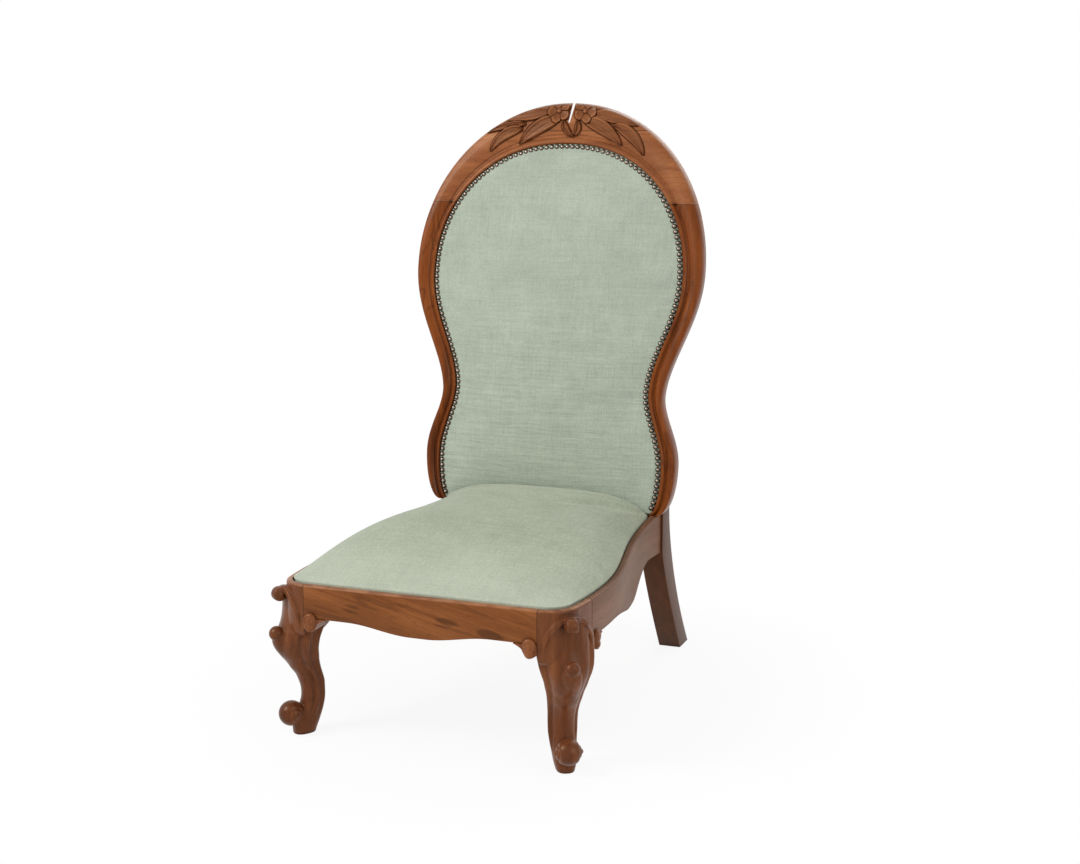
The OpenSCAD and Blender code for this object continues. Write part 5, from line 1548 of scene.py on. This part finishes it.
@dataclass
class BackUpholstery:
    """Stuffed back pad, its close nails, and the outside back."""

    finishes: Finishes
    frame: BackFrame
    cloth_t: float = 0.0007
    cover_share: float = 0.94
    swell_reach: float = 0.005

    def swell(self, z: Array, edge: Edge) -> Array:
        """Fullness of the pad over its height: up from the foot, and away again at the top."""
        rise = unit((z - S.foot_z) / (S.back_rise * 0.25)) ** 0.6
        middle = S.foot_z + S.back_rise * 0.5
        return rise * (1 - unit((z - middle) / (edge.top - middle)) ** 4)

    def nail_line(self) -> Array:
        """Right half of the nails' line, from the top's middle down to the foot, as (x, z)."""
        edge = self.frame.inner.shrunk(S.nail_d / 2 + S.pad_gap)
        top = edge.at_angle(np.linspace(np.pi / 2, edge.joint_angle, 240))
        z = np.linspace(S.joint_z, S.foot_z + 0.004, 400)[1:]
        return np.vstack([top, np.stack([edge.half_width(z), z], -1)])

    def pad(self, rows: int = 170, columns: int = 62) -> bpy.types.Object:
        """Crowned pad whose edge is drawn down under the nails, blown up as cloth between them.

        Across, the crown is 1 less a power of the share of the half width; its height follows the
        swell, and an exponential tucks the edge in.
        """
        edge = self.frame.inner.shrunk(S.pad_gap)
        t = np.linspace(0, 1, rows)
        z = S.foot_z + (edge.top - S.foot_z) * np.sin(np.pi / 2 * t) ** 1.15
        z[-1] = edge.top - 1e-5
        x = edge.half_width(z)[:, None]
        s = np.sin(np.linspace(-np.pi / 2, np.pi / 2, columns))[None, :]
        drop = S.ledge_drop - S.pad_bed
        reach = np.minimum(x * (1 - np.abs(s)), (edge.top - z)[:, None])
        tuck = 1 - np.exp(-reach / 0.009)
        crown = self.cover_share * S.back_crown * self.swell(z, edge)[:, None]
        crown = crown * (1 - np.abs(s) ** 2.4)
        front = back_y(z)[:, None] + drop - S.pad_edge * (0.55 + 0.45 * tuck) - crown
        zz = np.broadcast_to(z[:, None], front.shape)
        face = np.stack([x * s, front, zz], -1)
        rear = np.stack([x * s, np.broadcast_to(back_y(z)[:, None] + drop, front.shape), zz], -1)
        pad = Shapes.solid("back_pad_velvet", [Shapes.wrapped(face, rear)], sharp=60)
        at = unplaced(Upholsterer.points(pad.data))
        depth = back_y(at[:, 2]) + drop - at[:, 1]
        inside = edge.shrunk(S.nail_d)
        beside = np.abs(at[:, 0]) > inside.half_width(at[:, 2])
        beyond = (at[:, 2] > inside.top) | (at[:, 2] < S.foot_z + 0.004)
        Upholsterer.stuff(pad, (depth < 0.001) | beside | beyond, self.swell_reach)
        return pad

    def nails(self, sides: int = 12) -> bpy.types.Object:
        """Domed nail heads a pitch apart along the pad's edge, each a few rings round a low apex.

        The attribute "dome" runs from 0 at a head's rim to 1 at its apex; the brass reads it to
        paint a highlight at the apex and shade at the rim.
        """
        line = self.nail_line()
        run = run_along(*line.T)
        at = S.nail_pitch * (np.arange(int(run[-1] / S.nail_pitch - 0.5)) + 0.5)
        x, z = np.interp(at, run, line[:, 0]), np.interp(at, run, line[:, 1])
        x, z = np.concatenate([x, -x]), np.concatenate([z, z])
        r, h = S.nail_d / 2, S.nail_d * 0.36
        profile = np.array([(r * 0.14, h), (r * 0.45, h * 0.86), (r * 0.78, h * 0.50),
                            (r * 0.97, h * 0.10), (r, -0.0003)])
        turn = np.linspace(0, 2 * np.pi, sides + 1)[:-1]
        lean = np.arctan(math.tan(math.radians(S.back_lean))
                         + np.maximum(0.0, z - S.foot_z - S.bend_rise) / S.bend_r)
        zero = np.zeros_like(lean)
        up = np.stack([zero, np.sin(lean), np.cos(lean)], -1)
        out = np.stack([zero, -np.cos(lean), np.sin(lean)], -1)
        centre = np.stack([x, back_y(z) + S.ledge_drop - S.pad_bed - S.pad_edge, z], -1)
        disc = (np.cos(turn)[None, :, None] * np.array([1.0, 0.0, 0.0])
                + np.sin(turn)[None, :, None] * up[:, None, :])
        heads = (centre[:, None, None, :] + profile[None, :, :1, None] * disc[:, None, :, :]
                 + profile[None, :, 1:, None] * out[:, None, None, :])
        shells = [Shapes.rings(head) for head in heads]
        obj = Shapes.solid("back_nail_heads", shells, sharp=50, weld=1e-7)
        dome = np.concatenate([np.repeat(np.maximum(profile[:, 1], 0.0) / h, sides), [1.0, 0.0]])
        Shapes.marked(obj, "dome", np.tile(dome, len(x)))
        return obj

    def outside_back(self, rows: int = 120, columns: int = 40,
                     ) -> tuple[bpy.types.Object, tuple[float, float], float]:
        """Velvet over the back of the frame, notched round the rear legs' posts.

        Its half width is the inner outline's, grown; its face rises from a thin hem as a root.

        Returns:
            The cloth, its flat width and length, and its flat area.
        """
        edge = self.frame.inner.shrunk(-2 * (S.nail_d / 2 + S.pad_gap))
        clear, touch = 3e-4, 0.0009
        post_z = S.foot_z + S.post_rise + clear
        post_x = S.foot_wide / 2 + S.rear_leg_proud - S.rear_leg_w - clear
        t = np.linspace(0, 1, rows)
        z = np.sort(np.concatenate([S.foot_z + (edge.top - 1e-5 - S.foot_z) * np.sin(np.pi / 2 * t),
                                    [post_z - 1e-4, post_z + 1e-4]]))
        half = edge.half_width(z)
        half = np.where(z < post_z, np.minimum(half, post_x), half)[:, None]
        x = half * np.sin(np.linspace(-np.pi / 2, np.pi / 2, columns))[None, :]
        hem = np.minimum(1.0, (half - np.abs(x)) / 0.006) ** 0.5
        zz = np.broadcast_to(z[:, None], x.shape)
        near = back_y(zz) + S.back_t + touch
        far = near + self.cloth_t + self.cloth_t * hem
        shell = Shapes.wrapped(np.stack([x, far, zz], -1), np.stack([x, near, zz], -1))
        cloth = Shapes.solid("outside_back_velvet", [shell], sharp=60)
        run = run_along(z, back_y(z))
        flat = float(2 * half.max()), float(run[-1])
        return cloth, flat, float(np.trapz(2 * half[:, 0], run))

    def build(self) -> None:
        """Makes the pad, the nails and the outside back."""
        pad = mount(self.pad(), Body.CHAIR, "back_velvet", self.finishes.back_velvet, "back_pad")
        mount(self.nails(), Body.CHAIR, "nail_brass", self.finishes.brass, "back_nails")
        cloth, flat, area = self.outside_back()
        mount(cloth, Body.CHAIR, "back_velvet", self.finishes.back_velvet, "outside_back")


@dataclass
class SeatFrame:
    """Front rail, side rails and rear legs as fine surfaces."""

    finishes: Finishes

    def front_rail(self) -> Shell:
        """Front rail: a lipped section carried across; its lower edge eases up to two arches."""
        x = np.linspace(-S.corner_x, S.corner_x, 181)[:, None]
        arch_x = 0.62 * S.corner_x
        low = S.seat_top - mix(S.front_drop, S.front_arch_drop,
                               ease((np.abs(x) - 0.1 * arch_x) / (0.9 * arch_x)))
        a, ones, worn = np.linspace(0, np.pi / 2, 7), np.ones_like(x), 0.0012
        depth = np.concatenate([[S.rail_t, worn, 0.3 * worn, 0.0, 0.0], S.lip_r * (1 - np.cos(a)),
                                [S.lip_w, S.lip_w, S.rail_t]])
        heights = np.hstack([low, low, low + 0.3 * worn, low + worn,
                             mix(low, ones * S.seat_top, 0.5),
                             S.seat_top - S.lip_r * (1 - np.sin(a)) * ones, ones * S.seat_top,
                             ones * S.ledge_z, ones * S.ledge_z])
        points = np.stack([x * np.ones_like(heights), depth * np.ones_like(heights), heights], -1)
        return Shapes.rings(points)

    def side_rail(self) -> Shell:
        """Right side rail: the lipped section carried along the serpentine side."""
        rows = np.linspace(S.leg_block_len, S.rear_face_y, 140)
        slope = side_slope(rows)
        turn = np.sqrt(1 + slope ** 2)
        a, worn = np.linspace(0, np.pi / 2, 7), 0.0015
        inset = np.concatenate([[worn, 0.3 * worn, 0.0, 0.0], S.lip_r * (1 - np.cos(a)),
                                [S.lip_w, S.lip_w, S.rail_t, S.rail_t]])
        low, top = rail_low(rows)[:, None], rail_top(rows)[:, None]
        ones = np.ones_like(low)
        heights = np.hstack([low, low + 0.3 * worn, low + worn, mix(low, top - S.lip_r, 0.5),
                             top - S.lip_r * (1 - np.sin(a)), top, ones * S.ledge_z,
                             ones * S.ledge_z, low])
        x = side_x(rows)[:, None] - inset / turn[:, None]
        inside = (rows > S.leg_block_len) & (rows < S.rear_face_y)
        y = rows[:, None] + np.where(inside, slope / turn, 0.0)[:, None] * inset
        return Shapes.rings(np.stack([x, y, heights], -1))

    def rear_leg(self) -> Shell:
        """Right rear leg: a sabre curve in side view, with rounded edges all the way down.

        The front edge is a power curve from the seat's underside to the floor, the rear edge
        another from the back's foot; a post tapers up behind the stile.
        """
        arch_z, post_z = S.seat_top - S.rear_arch_drop, S.foot_z + S.post_rise
        z = np.concatenate([np.linspace(0, S.foot_z, 90), np.linspace(S.foot_z, post_z, 40)[1:]])
        front = np.where(z > S.foot_z, back_y(z) + S.back_t,
                         S.rear_face_y + S.rear_rake * unit((arch_z - z) / arch_z) ** 1.18)
        top_y = float(back_y(post_z)) + S.back_t + S.post_top_t
        post = mix(S.rear_face_y + S.rear_leg_t, top_y, (z - S.foot_z) / S.post_rise)
        sweep = S.rear_rake + S.rear_foot_len - S.rear_leg_t
        sabre = S.rear_face_y + S.rear_leg_t + sweep * unit((S.foot_z - z) / S.foot_z) ** 1.65
        rear = np.where(z > S.foot_z, post, sabre)
        rear = rear - S.post_top_t / 2 * unit((z - post_z + S.post_top_t) / S.post_top_t) ** 2
        out = S.foot_wide / 2 + S.rear_leg_proud
        inner = out - S.rear_leg_w
        a = np.linspace(0, np.pi / 2, 5)
        small, large = 0.0015, 0.0045
        ring = [(inner + small * (1 - math.sin(v)), small * (1 - math.cos(v)), 0) for v in a[::-1]]
        ring += [(out - small * (1 - math.cos(v)), small * (1 - math.sin(v)), 0) for v in a[::-1]]
        ring += [(out - large * (1 - math.cos(v)), -large * (1 - math.sin(v)), 1) for v in a]
        ring += [(inner + large * (1 - math.sin(v)), -large * (1 - math.cos(v)), 1) for v in a]
        points = np.stack([np.stack([np.full_like(z, x), (rear if side else front) + off, z], -1)
                           for x, off, side in ring], 1)
        return Shapes.rings(points)

    def build(self) -> None:
        """Makes the front rail, both side rails and both rear legs."""
        mount(Shapes.solid("front_rail_wood", [self.front_rail()]), Body.CHAIR, "rail_walnut",
              self.finishes.front_rail, "front_rail")
        for side, word in SIDES:
            rail = Shapes.mirrored(self.side_rail(), side)
            mount(Shapes.solid(f"{word}_side_rail_wood", [rail]), Body.CHAIR, "side_walnut",
                  self.finishes.side_rail, f"{word}_side_rail")
            leg = Shapes.mirrored(self.rear_leg(), side)
            mount(Shapes.solid(f"rear_{word}_leg_wood", [leg], sharp=35), Body.CHAIR, "leg_walnut",
                  self.finishes.rear_leg, f"rear_{word}_leg")


@dataclass
class DropInSeat:
    """Stuffed drop-in seat: a crowned cushion drawn in at its sides, and the cloth under it."""

    finishes: Finishes
    # Gap over the rebate, frame, webbing, hessian, and gap under the cushion
    layers = (0.0003, 0.018, 0.0024, 0.0008, 0.0003)
    low: float = sum(layers, S.ledge_z)
    cover_share: float = 0.96
    swell_reach: float = 0.006
    cloth_t: float = 0.0007
    sag: float = 0.0030

    def half(self, y: Array) -> Array:
        """Half width of the cushion at a depth, rounded at its front corners."""
        inset = S.lip_w + S.seat_gap
        r = S.corner_r - inset
        round_x = S.corner_x + np.sqrt(np.maximum(0.0, r ** 2 - (S.corner_r - y) ** 2))
        return np.where(y < S.corner_r, round_x, side_x(y) - inset)

    def cushion(self, rows: int = 84, columns: int = 92) -> bpy.types.Object:
        """Crown over the plan, blown up as cloth above its tacked edge.

        From the front the crown rises as a power curve to its peak and eases to the back edge;
        across, it is a power of 1 less a power of the share of the half width.
        """
        inset = S.lip_w + S.seat_gap
        back = S.seat_depth - S.seat_gap / 2
        a = np.linspace(0, np.pi / 2, 18)
        y = np.concatenate([S.corner_r - (S.corner_r - inset) * np.cos(a),
                            np.linspace(S.corner_r, back, rows)[1:]])
        peak = S.seat_depth * 0.62
        crown = self.cover_share * S.seat_crown
        rise = np.where(y < peak, crown * (1 - unit((peak - y) / (peak - inset)) ** 2.6),
                        mix(crown, self.cover_share * S.seat_back_crown,
                            unit((y - peak) / (back - peak)) ** 2))
        s = np.sin(np.linspace(-np.pi / 2, np.pi / 2, columns))[None, :]
        x = self.half(y)[:, None] * s
        edge = rail_top(y)[:, None] + 0.003
        top = edge + rise[:, None] * (1 - np.abs(s) ** 5) ** 0.8
        yy = np.broadcast_to(y[:, None], x.shape)
        face = np.stack([x, yy, top], -1)
        side = np.stack([x * 0.992, yy, mix(edge, self.low, 0.5) + 0 * x], -1)
        under = np.stack([x * 0.985, yy, np.full_like(top, self.low)], -1)
        ring = np.concatenate([face, side[:, -1:], under[:, ::-1], side[:, :1]], axis=1)
        seat = Shapes.solid("seat_cushion_velvet", [Shapes.rings(ring)], sharp=60)
        at = unplaced(Upholsterer.points(seat.data))
        Upholsterer.stuff(seat, at[:, 2] < rail_top(at[:, 1]) + 0.0035, self.swell_reach)
        return seat

    def base_cloth(self, rows: int = 60, columns: int = 50,
                   ) -> tuple[bpy.types.Object, tuple[float, float], float]:
        """Black cloth tacked under the seat's frame, which sags a little between the rails.

        The sag is the root of a product of two half waves.

        Returns:
            The cloth, its flat width and length, and its flat area.
        """
        clear = 0.002
        inset = S.rail_t + clear
        block_y, block_x = S.leg_block_len + clear, S.corner_x - clear
        y = np.sort(np.concatenate([np.linspace(inset, S.seat_depth - inset, rows),
                                    [block_y - 1e-4, block_y + 1e-4]]))
        half = np.where(y < block_y, block_x, side_x(y) - inset)[:, None]
        s = np.linspace(-1, 1, columns)[None, :]
        x, yy = half * s, np.broadcast_to(y[:, None], (len(y), columns))
        across, along = np.cos(np.pi / 2 * s), np.sin(np.pi * (y - y[0]) / (y[-1] - y[0]))[:, None]
        frame_z = S.ledge_z + self.layers[0]
        top = frame_z - 1e-4 - self.sag * np.sqrt(np.maximum(0.0, across * along))
        shell = Shapes.wrapped(np.stack([x, yy, top], -1),
                               np.stack([x, yy, top - self.cloth_t], -1))
        cloth = Shapes.solid("seat_base_lining", [shell], sharp=60)
        flat = float(2 * half.max()), float(y[-1] - y[0])
        return cloth, flat, float(np.trapz(2 * half[:, 0], y))

    def build(self) -> None:
        """Makes the cushion and the base cloth."""
        cushion = mount(self.cushion(), Body.DROP_IN_SEAT, "seat_velvet",
                        self.finishes.seat_velvet, "seat_cushion")
        cloth, flat, area = self.base_cloth()
        mount(cloth, Body.DROP_IN_SEAT, "lining", self.finishes.lining, "seat_base_cloth")


class Studio:
    """White background, pale floor, soft lamps and the photograph's camera."""

    camera_at = (1.0221, -2.4868, 0.9235)
    azimuth = 21.2067
    pitch = 9.945
    lens = 53.333
    aim_at = (0.0, 0.0, 0.45)
    daylight = 0.52
    floor_r = 12.0
    # Name, place, size and power of each lamp
    lamps = (("key", (-2.3, -2.2, 2.7), 1.4, 84.0), ("fill", (2.8, -1.4, 1.6), 1.8, 26.0),
             ("back_light", (0.4, 2.8, 2.4), 2.0, 24.0))

    def camera(self) -> None:
        """Places the camera at the photograph's viewing angle."""
        data = bpy.data.cameras.new("camera")
        data.sensor_width, data.lens, data.clip_start = 36.0, self.lens, 0.05
        camera = bpy.data.objects.new("camera", data)
        camera.location = self.camera_at
        camera.rotation_euler = (math.radians(90 - self.pitch), 0.0, math.radians(self.azimuth))
        bpy.context.scene.collection.objects.link(camera)
        bpy.context.scene.camera = camera

    def lamp(self, name: str, place: tuple[float, float, float], size: float, power: float) -> None:
        """Adds one square area lamp aimed at the chair's middle."""
        data = bpy.data.lights.new(name, "AREA")
        data.size, data.energy = size, power
        lamp = bpy.data.objects.new(name, data)
        lamp.location = place
        aim = Vector(self.aim_at) - Vector(place)
        lamp.rotation_euler = aim.to_track_quat("-Z", "Y").to_euler()
        bpy.context.scene.collection.objects.link(lamp)

    @staticmethod
    def seen(g: Graph) -> Value:
        """1 for rays that the camera, a reflection or glass sends, and 0 for lighting."""
        path = g.add("ShaderNodeLightPath", {}, {})
        camera, glossy, through = (Value(g, path.outputs[name]) for name in
                                   ("Is Camera Ray", "Is Glossy Ray", "Is Transmission Ray"))
        return (camera + glossy + through).clamped()

    def world(self) -> None:
        """Even world at a plain level, which shows plain white to the camera and in reflections."""
        world = bpy.data.worlds.new("studio")
        bpy.context.scene.world = world
        g = Graph(world)
        level = self.seen(g) * (1 - self.daylight) + self.daylight
        light = g.add("ShaderNodeBackground", {}, {"Color": (1.0, 1.0, 1.0), "Strength": level})
        g.tree.links.new(light.outputs[0], g.output.inputs["Surface"])

    def floor(self) -> None:
        """Large pale floor that keeps the chair's soft shadow near it and fades to plain white."""
        r = self.floor_r
        mesh = bpy.data.meshes.new("floor")
        mesh.from_pydata([(-r, -r, 0), (r, -r, 0), (r, r, 0), (-r, r, 0)], [], [(0, 1, 2, 3)])
        floor = bpy.data.objects.new("floor", mesh)
        bpy.context.scene.collection.objects.link(floor)
        g = Graph(bpy.data.materials.new("pale_floor"))
        diffuse = g.add("ShaderNodeBsdfDiffuse", {}, {"Color": (0.93, 0.93, 0.93)})
        white = g.add("ShaderNodeEmission", {}, {"Color": (1.0, 1.0, 1.0), "Strength": 1.0})
        away = g.axis(0) * g.axis(0) + g.axis(1) * g.axis(1)
        seen = self.seen(g) * (0.90 + 0.10 * away.above(0.10, 0.60))
        shader = g.add("ShaderNodeMixShader", {},
                       {0: seen, 1: diffuse.outputs[0], 2: white.outputs[0]})
        g.tree.links.new(shader.outputs[0], g.output.inputs["Surface"])
        dress(floor, g.owner)

    def build(self) -> None:
        """Sets the whole studio."""
        bpy.context.scene.view_settings.view_transform = "Standard"
        self.camera()
        self.world()
        for lamp in self.lamps:
            self.lamp(*lamp)
        self.floor()


def dress_frame(nodes: dict[str, bpy.types.Object], finishes: Finishes) -> None:
    """Gives every CAD node its finish, also those that another piece stands for.

    Args:
        nodes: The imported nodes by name.
        finishes: The chair's finishes.
    """
    plan: list[tuple[bpy.types.Material, tuple[str, ...]]] = [
        (finishes.front_rail, ("front_rail",)),
        (finishes.ear, ("front_left_ear", "front_right_ear", "side_left_ear", "side_right_ear")),
        (finishes.side_rail, ("left_side_rail", "right_side_rail")),
        (finishes.leg, ("front_left_leg", "front_right_leg")),
        (finishes.rear_leg, ("rear_left_leg", "rear_right_leg")),
        (finishes.stile, ("left_stile", "right_stile")),
        (finishes.crest, ("crest_rail", "crest_cap")),
        (finishes.beech, ("rear_seat_rail", "bottom_back_rail", "front_left_block",
                          "front_right_block", "rear_left_block", "rear_right_block", "seat_dowels",
                          "back_dowels", "drop_seat_front", "drop_seat_rear", "drop_seat_left",
                          "drop_seat_right", "drop_seat_dowels")),
        (finishes.jute, ("back_webbing", "back_hessian", "seat_webbing", "seat_hessian")),
        (finishes.back_velvet, ("back_pad", "outside_back")),
        (finishes.seat_velvet, ("seat_cushion",)),
        (finishes.brass, ("back_nails",)),
        (finishes.steel, ("block_screws", "post_screws")),
        (finishes.lining, ("seat_base_cloth",)),
    ]
    for material, names in plan:
        for name in names:
            dress(nodes[name], material)


def main() -> None:
    """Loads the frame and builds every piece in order."""
    logging.basicConfig(level=logging.INFO, format="%(name)s: %(message)s")
    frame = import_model()
    finishes = Finishes()
    dress_frame(frame["nodes"], finishes)
    back = BackFrame(finishes)
    back.build()
    BackUpholstery(finishes, back).build()
    SeatFrame(finishes).build()
    FrontLegs(finishes).build()
    KneeEars(finishes).build()
    DropInSeat(finishes).build()
    Studio().build()


if __name__ == "__main__":
    main()
